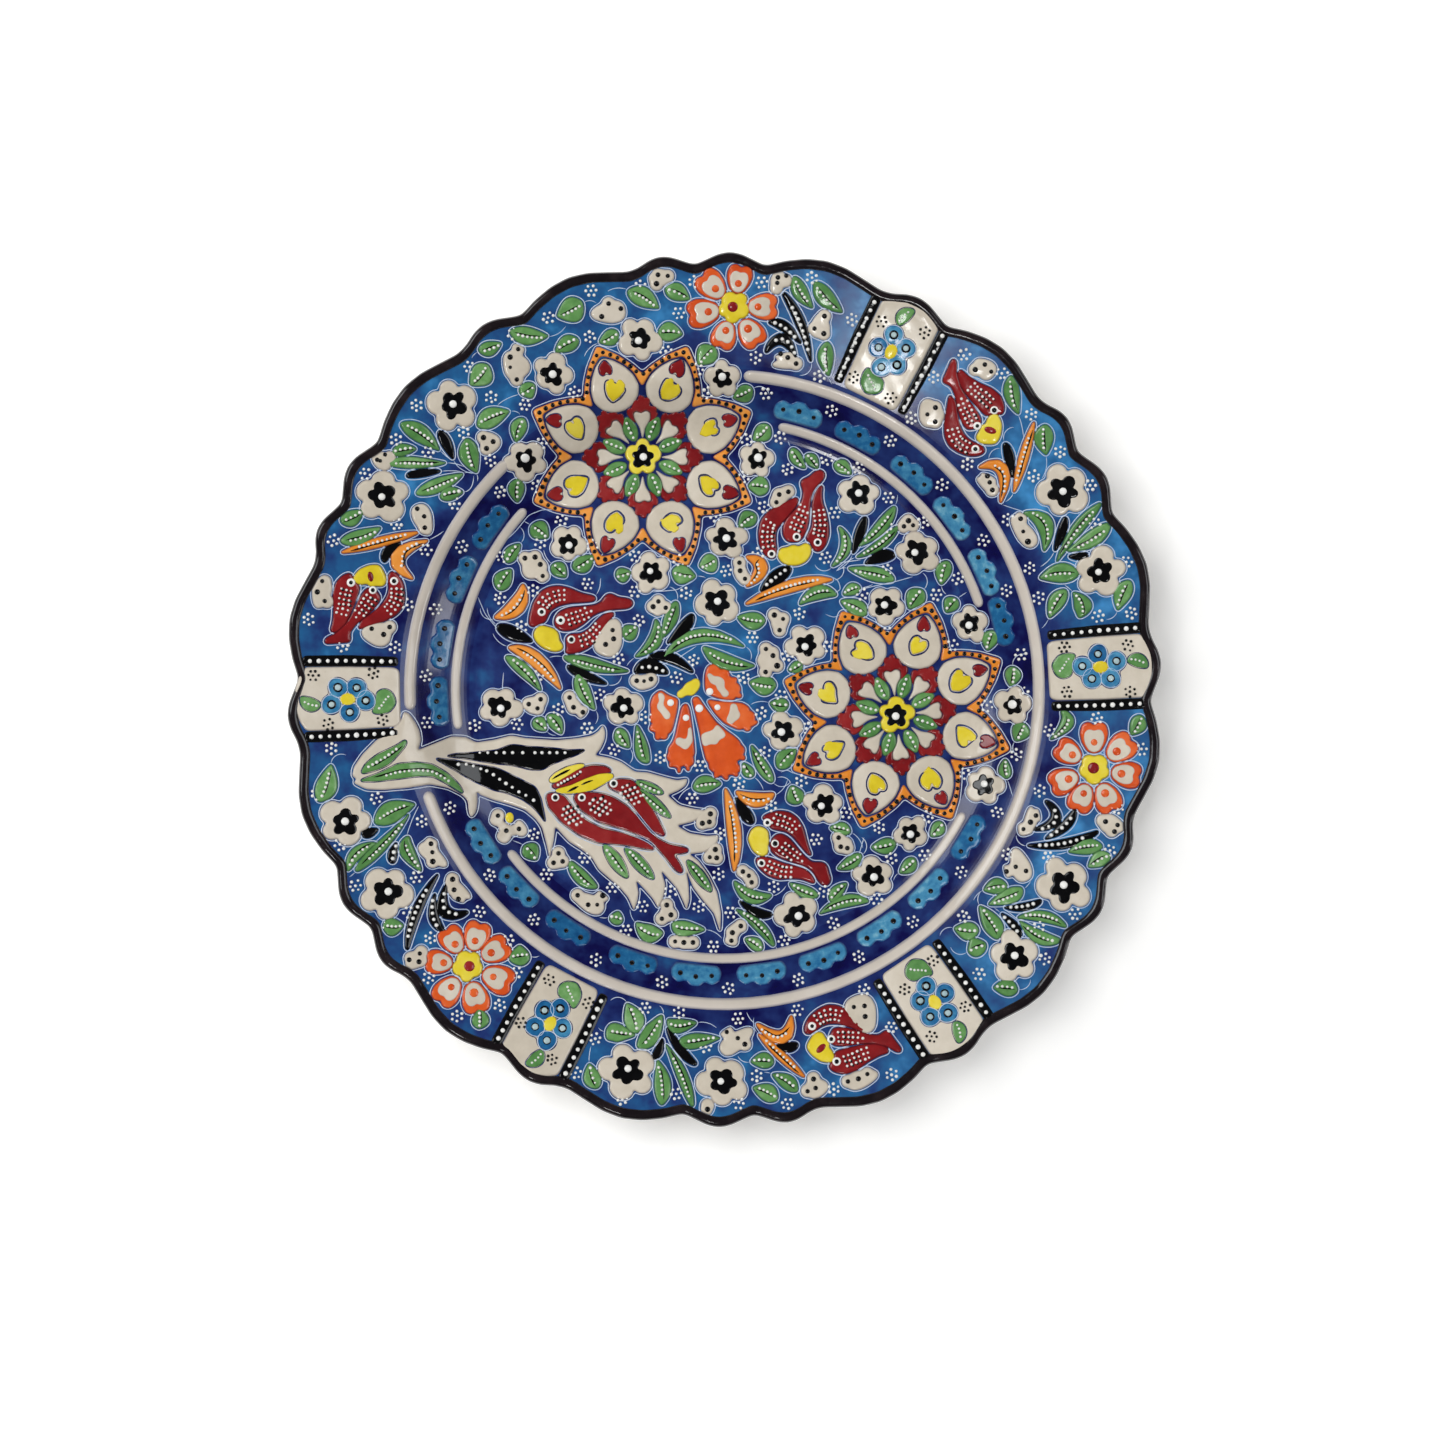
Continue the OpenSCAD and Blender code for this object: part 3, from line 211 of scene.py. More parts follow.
def inside(points, loops, part=1200):
    """Which points lie inside the outlines and outside their holes."""
    hit = np.zeros(len(points), bool)
    for a in loops:
        b = np.roll(a, -1, 0)
        rise = np.where(np.abs(b[:, 1] - a[:, 1]) < 1e-12, 1e-12, b[:, 1] - a[:, 1])
        for k in range(0, len(points), part):
            x, y = points[k : k + part, :1], points[k : k + part, 1:]
            cut = (a[:, 1] > y) != (b[:, 1] > y)
            left = x < a[:, 0] + (y - a[:, 1]) / rise * (b[:, 0] - a[:, 0])
            hit[k : k + part] ^= (cut & left).sum(1) % 2 == 1
    return hit


def normals(line, closed=True):
    """Unit vectors to the left of the line, which is the inside of an outline."""
    if closed:
        t = np.roll(line, -1, 0) - np.roll(line, 1, 0)
    else:
        t = np.gradient(line, axis=0)
    t /= np.maximum(np.hypot(*t.T), 1e-9)[:, None]
    return np.column_stack([-t[:, 1], t[:, 0]])


def grown(loop, by):
    """The outline moved outward by so many millimetres."""
    if not by:
        return loop
    p = loop - by * normals(loop)
    keep = gap(p, [loop]) > 0.9 * abs(by)
    return even(p[keep], 0.5, 1) if keep.sum() > 8 else loop


def lobed(loop, spots, size=1.95, body=0.76):
    """A bud with a round petal about each of its dots."""
    c = loop.mean(0)
    spots = [q for q in spots if np.hypot(*(q - c)) < 7.5 and gap(q[None], [loop])[0] < 2.4]
    if not spots:
        return loop
    turn = np.linspace(-math.pi, math.pi, 73)[:-1]
    d = loop - c
    reach = np.interp(turn, np.arctan2(d[:, 1], d[:, 0]), np.hypot(*d.T), period=2 * math.pi)
    ray = np.column_stack([np.cos(turn), np.sin(turn)])
    out = reach * body
    for q in spots:
        ahead = ray @ (q - c)
        room = size**2 - (np.hypot(*(q - c)) ** 2 - ahead**2)
        hit = np.where(room > 0, ahead + np.sqrt(np.maximum(room, 0)), 0)
        out = np.maximum(out, np.minimum(hit, reach + 1.1))
    return even(c + ray * out[:, None], 0.4, 1)


def lobes(loop, deep=0.36, power=0.55, size=1.0, jitter=0.16):
    """Five round petals about the middle of an outline, each a little different."""
    c = loop.mean(0)
    d = loop - c
    far = np.hypot(*d.T)
    start = heading(d[far.argmax()])
    a = np.linspace(0, 2 * math.pi, 75, endpoint=False)
    each = np.round(a / (0.4 * math.pi)).astype(int) % 5
    swell = np.abs(np.cos(2.5 * a)) ** power * (1 + jitter * RNG.normal(size=5))[each]
    r = far.max() * size * (1 - deep + deep * swell)
    a = a + start + 0.1 * np.sin(2 * a + RNG.uniform(0, 6))
    return even(c + np.column_stack([r * np.cos(a), r * np.sin(a)]), 0.35, 1)


HEART = np.array([(1, 0), (0.55, 0.5), (0, 0.82), (-0.55, 0.84), (-0.9, 0.5), (-0.85, 0.2), (-0.5, 0),
                  (-0.85, -0.2), (-0.9, -0.5), (-0.55, -0.84), (0, -0.82), (0.55, -0.5)])


def heart(loop, size, turn, shift, rough=0.08):
    """A heart shifted from an outline's middle to its rosette's centre, its tip turned from that line."""
    c = loop.mean(0)
    a = heading(nearest("rosette_centres", c) - c)
    c = c + shift * np.array([math.cos(a), math.sin(a)])
    u = size * (1 + 0.06 * RNG.normal())
    p = turned(HEART * (u, u * 0.95), a + turn)
    return even(c + p + RNG.normal(0, rough, p.shape), 0.3, 1)


def leaf(loop, taper=0.3, bend=0.12, fat=1.0):
    """A leaf made broader towards its outer end and a little bent, as a brush stroke leaves it."""
    c = loop.mean(0)
    axis = np.linalg.svd(loop - c, full_matrices=False)[2][0]
    axis = axis if axis @ c > 0 else -axis
    across = np.array([-axis[1], axis[0]])
    u, w = (loop - c) @ axis, (loop - c) @ across
    share = u / np.abs(u).max()
    bow = bend * np.abs(u).max() * RNG.choice([-1, 1]) * (share**2 - 0.35)
    return c + np.outer(u, axis) + np.outer(w * fat * (1 + taper * share) + bow, across)


def scallops(loop, homes, pitch, deep, start=0.35):
    """The outline with its edge scalloped away from the nearest of the homes."""
    loop = even(loop, 0.3, 0)
    far = np.hypot(*(loop - nearest(homes, loop.mean(0))).T)
    share = step_up((far - far.min()) / (far.max() - far.min()), start, start + 0.25)
    n = round(0.3 * len(loop) / pitch)
    wave = 1 - np.abs(np.sin(math.pi * n * (np.arange(len(loop)) / len(loop) + 0.02 * RNG.normal())))
    return loop + normals(loop) * (deep * wave * share)[:, None]


def spine(loop, n=30):
    """The line down the middle of a leaf, from one tip to the other."""
    d = ((loop[:, None] - loop[None]) ** 2).sum(2)
    i, j = sorted(np.unravel_index(d.argmax(), d.shape))
    one, two = loop[i : j + 1], np.vstack([loop[j:], loop[: i + 1]])[::-1]
    at = np.linspace(0, 1, n)
    sides = [np.column_stack([np.interp(at, np.linspace(0, 1, len(c)), k) for k in c.T]) for c in (one, two)]
    return (sides[0] + sides[1]) / 2


def along(line, start, stop, pitch):
    """Points at an even pitch on the stretch of a line from share start to share stop."""
    far = np.concatenate([[0], np.cumsum(np.hypot(*np.diff(line, axis=0).T))])
    a, b = start * far[-1], stop * far[-1]
    at = np.linspace(a, b, max(2, round((b - a) / pitch) + 1))
    return np.column_stack([np.interp(at, far, line[:, 0]), np.interp(at, far, line[:, 1])])


# ---- building glaze ----
class Glaze:
    """Gathers many deposits into one piece. depth is 0 at a deposit's edge and 1 well inside it."""

    def __init__(self):
        self.v, self.f, self.depth, self.tone, self.n = [], [], [], [], 0

    def add(self, xyz, faces, depth, tone=None):
        self.v.append(np.asarray(xyz, float))
        self.f += [tuple(int(i) + self.n for i in f) for f in faces]
        self.depth.append(np.broadcast_to(depth, len(xyz)).astype(float))
        tone = RNG.random() if tone is None else tone
        self.tone.append(np.broadcast_to(tone, len(xyz)).astype(float))
        self.n += len(xyz)

    def piece(self, name, material, *nodes, slot=None, crisp=False):
        mesh = bpy.data.meshes.new(name)
        mesh.from_pydata((np.vstack(self.v) * MM).tolist(), [], self.f)
        for label, rows in (("depth", self.depth), ("tone", self.tone)):
            layer = mesh.attributes.new(label, "FLOAT", "POINT")
            layer.data.foreach_set("value", np.concatenate(rows).astype(np.float32))
        mesh.polygons.foreach_set("use_smooth", [not crisp or q.normal.z > 0.6 for q in mesh.polygons])
        mesh.materials.append(material)
        mesh.update()
        piece = bpy.data.objects.new(name, mesh)
        bpy.context.scene.collection.objects.link(piece)
        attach(piece, "root")
        if nodes:
            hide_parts(*nodes)


def triangles(points, loops):
    """Triangles between the outlines, counter-clockwise from above, and the points they use."""
    edges, n = [], 0
    for loop in loops:
        k = len(loop)
        edges += [(n + i, n + (i + 1) % k) for i in range(k)]
        n += k
    out = delaunay_2d_cdt([Vector(p) for p in points.tolist()], edges, [], 1, 1e-6)
    p, f = np.array([tuple(v) for v in out[0]]), np.array([t for t in out[2] if len(t) == 3])
    a, b, c = p[f[:, 0]], p[f[:, 1]], p[f[:, 2]]
    turn = (b - a)[:, 0] * (c - a)[:, 1] - (b - a)[:, 1] * (c - a)[:, 0]
    f[turn < 0] = f[turn < 0][:, ::-1]
    keep = np.abs(turn) > 1e-7
    if len(loops) > 1:
        keep &= inside((a + b + c) / 3, loops)
    return p, f[keep]


def cushion(glaze, loops, base, high, edge, pitch):
    """A closed pillow of glaze over an outline: round at the edge and nearly flat inside."""
    inner = []
    for share in (0.18, 0.55, 1.0):
        p = np.vstack([loop + edge * share * normals(loop) for loop in loops])
        inner.append(p[gap(p, loops) > 0.93 * share * edge])
    lo, hi = loops[0].min(0), loops[0].max(0)
    if pitch:
        gx, gy = np.meshgrid(np.arange(lo[0], hi[0], pitch), np.arange(lo[1], hi[1], pitch * 0.87))
        gx = gx + (np.arange(len(gx)) % 2 * pitch / 2)[:, None]
        grid = np.column_stack([gx.ravel(), gy.ravel()])
        grid = grid[inside(grid, loops)]
        if len(grid):
            inner.append(grid[gap(grid, loops) > edge + pitch * 0.45])
    p, f = triangles(np.vstack(loops + inner), loops)
    d = gap(p, loops)
    s = np.clip(d / edge, 0, 1)
    swell = np.sqrt(np.clip(1 - (1 - s) ** 2, 0, 1)) * (0.94 + 0.06 * np.clip(d / 4, 0, 1))
    roll = 0.03 * np.sin(p[:, 0] * 1.1 + 1.7 * np.sin(p[:, 1] * 0.6)) * s
    z = face_z(*p.T) + base + high * swell + roll
    tone = RNG.random()
    glaze.add(np.column_stack([p, z]), f, s, tone)
    glaze.add(np.column_stack([p, face_z(*p.T) + base - SUNK]), f[:, ::-1], 0, tone)
    for loop in loops:  # the wall under the edge
        k = len(loop)
        up, down = face_z(*loop.T) + base, face_z(*loop.T) + base - SUNK
        ring = [(i, k + i, k + (i + 1) % k, (i + 1) % k) for i in range(k)]
        glaze.add(np.column_stack([np.vstack([loop, loop]), np.concatenate([up, down])]), ring, 0, tone)


def ribbon(glaze, line, wide, base=0.0, high=LINE, closed=True):
    """A thin raised line of glaze; an open one tapers at its ends."""
    n, k = len(line), normals(line, closed)
    w = np.full(n, wide / 2)
    if not closed:
        w *= np.clip(np.minimum(np.arange(n), np.arange(n)[::-1]) / 3 + 0.25, 0, 1)
    parts = []
    for side, up in ((1, -0.06), (0, high), (-1, -0.06)):
        p = line + side * w[:, None] * k
        parts.append(np.column_stack([p, face_z(*p.T) + base + up]))
    faces = []
    for i in range(n if closed else n - 1):
        j = (i + 1) % n
        faces += [(i, n + i, n + j, j), (n + i, 2 * n + i, 2 * n + j, n + j), (2 * n + i, i, j, 2 * n + j)]
    glaze.add(np.vstack(parts), faces, 0.5)


def dome_shape(sides, rings):
    """Unit dome: rings of (radius, height) and a top point."""
    a = np.arange(sides) * 2 * math.pi / sides
    v = [(r * math.cos(t), r * math.sin(t), h) for r, h in rings for t in a] + [(0, 0, 1)]
    f = [tuple(range(sides))[::-1]]
    for k in range(0, len(v) - sides - 1, sides):
        f += [(k + i, k + (i + 1) % sides, k + sides + (i + 1) % sides, k + sides + i) for i in range(sides)]
    last = (len(rings) - 1) * sides
    f += [(last + i, last + (i + 1) % sides, last + sides) for i in range(sides)]
    return np.array(v), f


SMALL_DOME = dome_shape(8, [(1, -0.3), (0.62, 0.72)])
BIG_DOME = dome_shape(14, [(1, -0.4), (0.93, 0.3), (0.66, 0.78), (0.3, 0.96)])


def dots(glaze, spots, size, base=0.0, high=BEAD, shape=SMALL_DOME, uneven=0.08, squash=1.0, turn=0.0):
    """Round beads of glaze at the spots."""
    v, f = shape
    for spot in spots:
        d = size / 2 * (1 + uneven * RNG.normal())
        p = turned(v[:, :2] * (d * squash, d), turn) + spot
        glaze.add(np.column_stack([p, face_z(*p.T) + base + high * v[:, 2]]), f, 1.0)


# ---- materials ----
def linear(rgb):
    """sRGB 0-255 as a linear colour."""
    c = [(x / 255 / 12.92 if x <= 10 else ((x / 255 + 0.055) / 1.055) ** 2.4) for x in rgb]
    return (*c, 1)


def node(tree, kind, at, **values):
    """A shader node; each value sets a property of the node or else an input socket."""
    n = tree.nodes.new(kind)
    n.location = at
    for key, value in values.items():
        if hasattr(n, key):
            setattr(n, key, value)
        else:
            n.inputs[key].default_value = value
    return n


def ramp(tree, at, source, stops):
    """The colour that a factor has on a ramp of (place, sRGB) stops."""
    r = node(tree, "ShaderNodeValToRGB", at)
    for element, (place, rgb) in zip(r.color_ramp.elements, (stops[0], stops[-1])):
        element.position, element.color = place, linear(rgb)
    for place, rgb in stops[1:-1]:
        r.color_ramp.elements.new(place).color = linear(rgb)
    tree.links.new(source, r.inputs["Fac"])
    return r.outputs["Color"]


def math_node(tree, at, what, a, b, clamp=False):
    """The result of one sum on numbers or sockets."""
    n = node(tree, "ShaderNodeMath", at, operation=what, use_clamp=clamp)
    for socket, value in zip(n.inputs, (a, b)):
        if isinstance(value, (int, float)):
            socket.default_value = value
        else:
            tree.links.new(value, socket)
    return n.outputs[0]


def mix(tree, at, share, a, b):
    """The colour that is the given share of the way from a to b."""
    n = node(tree, "ShaderNodeMix", at, data_type="RGBA")
    for socket, value in ((n.inputs[0], share), (n.inputs[6], a), (n.inputs[7], b)):
        if isinstance(value, tuple):
            socket.default_value = value
        else:
            tree.links.new(value, socket)
    return n.outputs[2]


EDGE_DEPTH = 0.6  # the depth below which a deposit shows its edge colour


def glaze_material(name, stops, edge=None, mottle=260, rough=0.16, bump=0.15, speck=None):
    """Glossy glaze. Its colour wanders over the stops with noise and from deposit to deposit, and turns to
    edge where the glaze thins. speck is the share and colour of fine specks."""
    m = bpy.data.materials.new(name)
    m.use_nodes = True
    t = m.node_tree
    t.nodes.clear()
    out = node(t, "ShaderNodeOutputMaterial", (900, 0))
    s = node(t, "ShaderNodeBsdfPrincipled", (600, 0))
    s.inputs["Coat Weight"].default_value = 0.5
    s.inputs["Coat Roughness"].default_value = 0.05
    s.inputs["IOR"].default_value = 1.5
    t.links.new(s.outputs[0], out.inputs[0])
    place = node(t, "ShaderNodeTexCoord", (-1200, 0)).outputs["Object"]
    broad = node(t, "ShaderNodeTexNoise", (-900, 200), Scale=mottle, Detail=3.0, Roughness=0.55)
    fine = node(t, "ShaderNodeTexNoise", (-900, -100), Scale=mottle * 5, Detail=2.0)
    for n in (broad, fine):
        t.links.new(place, n.inputs["Vector"])
    tone = node(t, "ShaderNodeAttribute", (-900, 500), attribute_name="tone").outputs["Fac"]
    wander = math_node(t, (-450, 300), "MULTIPLY_ADD", tone, 0.45)
    t.links.new(broad.outputs["Fac"], wander.node.inputs[2])
    wander = math_node(t, (-350, 300), "SUBTRACT", wander, 0.2, clamp=True)
    colour = ramp(t, (-200, 300), wander, stops)
    if edge:
        depth = node(t, "ShaderNodeAttribute", (-900, -400), attribute_name="depth").outputs["Fac"]
        near = math_node(t, (-450, -300), "DIVIDE", depth, EDGE_DEPTH, clamp=True)
        colour = mix(t, (100, 200), near, linear(edge), colour)
    if speck:
        spots = ramp(t, (-200, -100), fine.outputs["Fac"], [(0.66, (0, 0, 0)), (0.74, (255, 255, 255))])
        share = math_node(t, (150, -100), "MULTIPLY", spots, speck[0])
        colour = mix(t, (300, 200), share, colour, linear(speck[1]))
    t.links.new(colour, s.inputs["Base Color"])
    gloss = node(t, "ShaderNodeMapRange", (200, -300))
    gloss.inputs["To Min"].default_value = rough * 0.7
    gloss.inputs["To Max"].default_value = rough * 1.4
    t.links.new(fine.outputs["Fac"], gloss.inputs["Value"])
    t.links.new(gloss.outputs["Result"], s.inputs["Roughness"])
    b = node(t, "ShaderNodeBump", (350, -500), Strength=bump, Distance=0.0004)
    t.links.new(broad.outputs["Fac"], b.inputs["Height"])
    t.links.new(b.outputs["Normal"], s.inputs["Normal"])
    return m


CREAM = glaze_material("cream_glaze", [(0.1, (202, 192, 176)), (0.5, (214, 204, 188)),
                        (0.95, (226, 217, 203))], edge=(172, 163, 156), speck=(0.2, (190, 176, 158)))
RING_CREAM = glaze_material("ring_cream_glaze", [(0.1, (202, 193, 182)), (0.6, (216, 207, 197)),
                             (1, (226, 219, 209))], edge=(150, 148, 162), mottle=120)
GREEN = glaze_material("green_glaze", [(0, (66, 118, 60)), (0.35, (88, 140, 78)), (0.7, (106, 158, 92)),
                        (1, (138, 182, 124))], edge=(62, 104, 66), mottle=420)
AMBER = glaze_material("amber_glaze", [(0, (222, 126, 36)), (0.5, (238, 146, 52)), (1, (246, 168, 84))],
                       edge=(168, 92, 44))
ORANGE = glaze_material("orange_glaze", [(0, (200, 66, 24)), (0.5, (226, 92, 38)), (1, (240, 122, 66))],
                        edge=(160, 54, 34))
RED = glaze_material("red_glaze", [(0, (108, 18, 24)), (0.5, (138, 28, 32)), (1, (160, 48, 48))],
                     edge=(78, 16, 28))
YELLOW = glaze_material("yellow_glaze", [(0, (216, 190, 32)), (0.5, (234, 212, 52)), (1, (242, 226, 96))],
                        edge=(176, 150, 40))
BLACK = glaze_material("black_glaze", [(0, (2, 2, 4)), (0.5, (6, 6, 8)), (1, (16, 17, 20))], rough=0.1)
LIP_GLAZE = glaze_material("lip_glaze", [(0, (10, 8, 12)), (0.5, (26, 20, 24)), (1, (52, 42, 44))],
                           rough=0.14, mottle=200, bump=0.5)
SKY = glaze_material("sky_glaze", [(0, (14, 70, 124)), (0.4, (36, 106, 158)), (0.75, (78, 150, 190)),
                      (1, (140, 196, 216))], edge=(16, 46, 112), mottle=420)
WHITE = glaze_material("white_glaze", [(0, (246, 246, 242)), (1, (254, 254, 252))], edge=(222, 222, 226),
                       rough=0.2)
PALE = glaze_material("pale_line_glaze", [(0, (160, 186, 224)), (0.5, (200, 215, 238)),
                       (1, (232, 238, 248))], mottle=500)
MIST = glaze_material("mist_glaze", [(0, (150, 182, 192)), (1, (204, 222, 222))], edge=(110, 140, 160))
INK = glaze_material("dark_line_glaze", [(0, (18, 24, 66)), (0.6, (34, 48, 102)), (1, (74, 96, 150))],
                     mottle=500)
CLAY = glaze_material("clay_glaze", [(0, (196, 184, 164)), (0.5, (212, 200, 182)), (1, (222, 212, 196))],
                      edge=(176, 148, 118), mottle=60, speck=(0.5, (150, 122, 92)))
GROUND = glaze_material("blue_ground_glaze", [(0.0, (3, 1, 42)), (0.24, (12, 12, 76)),
                         (0.48, (34, 54, 114)), (0.74, (38, 98, 152)), (1, (70, 150, 212))], mottle=110,
                        bump=0.08)


# ---- clay body, ground and lip ----
STEPS = 1080
TURN = np.arange(STEPS) * 2 * math.pi / STEPS
EDGE_LOOP = outlines("rim_edge_band", step=1.0, soft=2)[0][0]
EDGE_TURN = np.arctan2(EDGE_LOOP[:, 1], EDGE_LOOP[:, 0])
EDGE = np.interp(TURN, EDGE_TURN, np.hypot(*EDGE_LOOP.T), period=2 * math.pi)  # radius of the scalloped edge
LIP = 3.0  # how far in from the edge the black lip reaches
SKIN = 0.25  # thickness of the ground glaze


def rings(rows):
    """Points on rings round the plate, and faces between them; a row gives a ring's radii and heights."""
    v = [np.column_stack([r * np.cos(TURN), r * np.sin(TURN), np.broadcast_to(z, STEPS)]) for r, z in rows]
    f = []
    for k in range(len(rows) - 1):
        for i in range(STEPS):
            j = (i + 1) % STEPS
            f.append((k * STEPS + i, (k + 1) * STEPS + i, (k + 1) * STEPS + j, k * STEPS + j))
    return np.vstack(v), f


def closed_rings(rows):
    """Rings whose section closes on itself."""
    v, f = rings(rows + rows[:1])
    n = len(v) - STEPS
    return v[:n], [tuple(i % n for i in q)[::-1] for q in f]


def hug(r):
    """Height of the blue ground at a radius."""
    return face_z(r, 0 * r)


def cover(name, radii, slot, tone, cad_node):
    """A closed skin of ground glaze over rings of the given radii, its tone given at each point."""
    glaze = Glaze()
    rows = [(r, hug(r)) for r in radii]
    v, f = closed_rings(rows + [(r, z - SKIN) for r, z in rows[::-1]])
    glaze.add(v, f, 1.0, tone(*v[:, :2].T))
    glaze.piece(name, GROUND, cad_node, slot=slot, crisp=True)


def drift(x, y, size, seed):
    """Slow wandering between about -1 and 1."""
    a = seed * 1.7
    u, w = x / size, y / size
    return (np.sin(u + 2.1 * np.sin(w * 0.7 + a)) + np.sin(w * 1.3 + 1.8 * np.sin(u * 0.8 - a))) / 2


# a tone of 0 is the darkest cobalt of the ground and 1 its palest blue
def rim_tone_and_painted_sheen(x, y):
    """The ground turns from cobalt to sky blue up the rim, and its right side is painted lighter as a painted
    sheen of light.
    """
    r = np.hypot(x, y)
    # side paints the rim lighter towards the upper right: a painted sheen standing in for light falling on
    # that side, while the rise from cobalt to sky blue is the ground's own colour
    side = 0.16 * np.cos(np.arctan2(y, x) - 0.5)
    return 0.24 + (0.58 + side) * step_up(r + 2.5 * drift(x, y, 9, 1), 93, 105) + 0.05 * drift(x, y, 6, 2)


def band_tone(x, y):
    """The rise is the darkest part of the ground."""
    return 0.08 + 0.04 * drift(x, y, 7, 3)


# pools of lighter ground in the well: x, y, reach, share
WELL_LIGHT = [(2, 12, 26, 0.62), (-12, 26, 20, 0.5), (-24, -16, 16, 0.55), (24, 34, 22, 0.6),
              (12, -24, 18, 0.5), (50, 20, 16, 0.3), (-4, -6, 22, 0.4), (36, 46, 14, 0.35)]


def well_tone(x, y):
    """The well is cobalt with lighter pools."""
    light = 0 * x
    for cx, cy, reach, share in WELL_LIGHT:
        light = light + share * np.exp(-((x - cx) ** 2 + (y - cy) ** 2) / reach**2)
    return 0.26 + 0.56 * np.clip(light + 0.1 * drift(x, y, 8, 4), 0, 1)


def flat_rings(start, stop, count):
    """Radii of round rings at even steps."""
    return [r * np.ones(STEPS) for r in np.linspace(start, stop, count)]


cover("well_ground_skin", flat_rings(0.4, RISE_IN, 46), "blue_glaze", well_tone, "well_ground")
cover("band_ground_skin", flat_rings(RISE_IN, RISE_OUT, 24), "cobalt_glaze", band_tone, "band_ground")
rim_rings = [RISE_OUT + (EDGE - LIP - RISE_OUT) * share for share in np.linspace(0, 1, 26)]
cover("rim_ground_skin", rim_rings, "blue_glaze", rim_tone_and_painted_sheen, "rim_ground")

# section of the black lip: distance out from the edge, height above the ground there
LIP_SECTION = [
    (-3.1, -0.2), (-3.05, 0.16), (-2.7, 0.46), (-2.1, 0.62), (-1.3, 0.56), (-0.6, 0.18), (-0.15, -0.6),
    (0, -1.6), (-0.02, -2.8), (-0.3, -3.9), (-0.9, -4.8), (-1.8, -5.3), (-2.6, -5.3), (-2.7, -4.4),
    (-1.4, -3.2), (-1.4, -1.4)]
glaze = Glaze()
v, f = closed_rings([(EDGE + out, hug(EDGE) + out * GRADE + up) for out, up in LIP_SECTION])
glaze.add(v, f, 1.0, 0.5)
glaze.piece("black_lip", LIP_GLAZE, "rim_edge_band")

# the clay body: radii of rings on its face, radius and height of rings on its underside, and the middle and
# half width of the bare ring that it stands on
BODY_TOP = [0, 20, 40, 60, RISE_IN, 76, 79, 82, 85, 88, RISE_OUT, 96, 104, 112, 119]
BODY_OUT = 121
BODY_UNDER = [
    (119, 22.4), (112, 20.4), (104, 18.4), (96, 16.4), (91, 15), (88, 13), (84, 10.2), (80, 7.9), (76, 6),
    (72, 4.7), (69, 3.8), (67.2, 2.9), (66.3, 1.6), (65.7, 0.5), (65, 0.05), (62, 0.05), (61.3, 0.4),
    (60.6, 1.4), (59.8, 2.6), (58.4, 3.2), (40, 3.25), (20, 3.2), (0, 3.2)]
FOOT, FOOT_HALF = 63.5, 2.6
stretch = (EDGE - 1.2 - RISE_OUT) / (BODY_OUT - RISE_OUT)


def spread(r):
    """Radii of a ring of the body, which follow the scallops past the rise."""
    return RISE_OUT + (r - RISE_OUT) * stretch if r > RISE_OUT else r * np.ones(STEPS)


def lift(r):
    """How much higher the rim is at a ring's true radii than at its nominal one."""
    return hug(spread(r)) - hug(np.array(float(r))) if r > RISE_OUT else 0


rows = [(spread(r), hug(spread(r)) - 0.3) for r in BODY_TOP]
outer = spread(BODY_OUT)
rows += [(outer, hug(outer) - 1.4), (outer, hug(outer) - 3.4)]
rows += [(spread(r), z + lift(r)) for r, z in BODY_UNDER]
glaze = Glaze()
v, f = rings(rows)
x, y, z = v.T
bare = (np.abs(np.hypot(x, y) - FOOT) < FOOT_HALF) & (z < 0.45)
glaze.add(v, [q[::-1] for q in f], np.where(bare, 0.0, 1.0), 0.5 + 0.2 * drift(x, y, 20, 5))
glaze.piece("clay_body", CLAY, "plate_body")

# ---- raised deposits, one piece for each kind in the CAD ----
def in_lip(points, clear=0.1):
    """The points, those too near the black lip or past it drawn in."""
    r = np.hypot(*points.T)
    most = np.interp(np.arctan2(points[:, 1], points[:, 0]), TURN, EDGE, period=2 * math.pi)
    return points * np.minimum(1, (most - LIP - clear) / np.maximum(r, 1e-6))[:, None]


def tucked(loop):
    """An outline moved in and trimmed so that it stays clear of the lip."""
    over = np.hypot(*(loop - in_lip(loop)).T).max()
    c = loop.mean(0)
    return in_lip(loop - 0.6 * over * c / np.hypot(*c))


def relief(name, material, base=0.0, high=RELIEF, edge=0.9, pitch=1.2, step=0.5, soft=2, grow=0.25,
           shape=None):
    """The rounded deposits that stand for one CAD node, their outlines grown or given another shape."""
    AREAS[name] = [[grown(loops[0], grow)] + [grown(q, -grow / 2) for q in loops[1:]]
                   for loops in outlines(name, step, soft)]
    if shape:
        AREAS[name] = [[tucked(shape(loops[0]))] for loops in AREAS[name]]
    glaze = Glaze()
    for loops in AREAS[name]:
        cushion(glaze, loops, base, high, edge, pitch)
    glaze.piece(name + "_glaze", material, name)


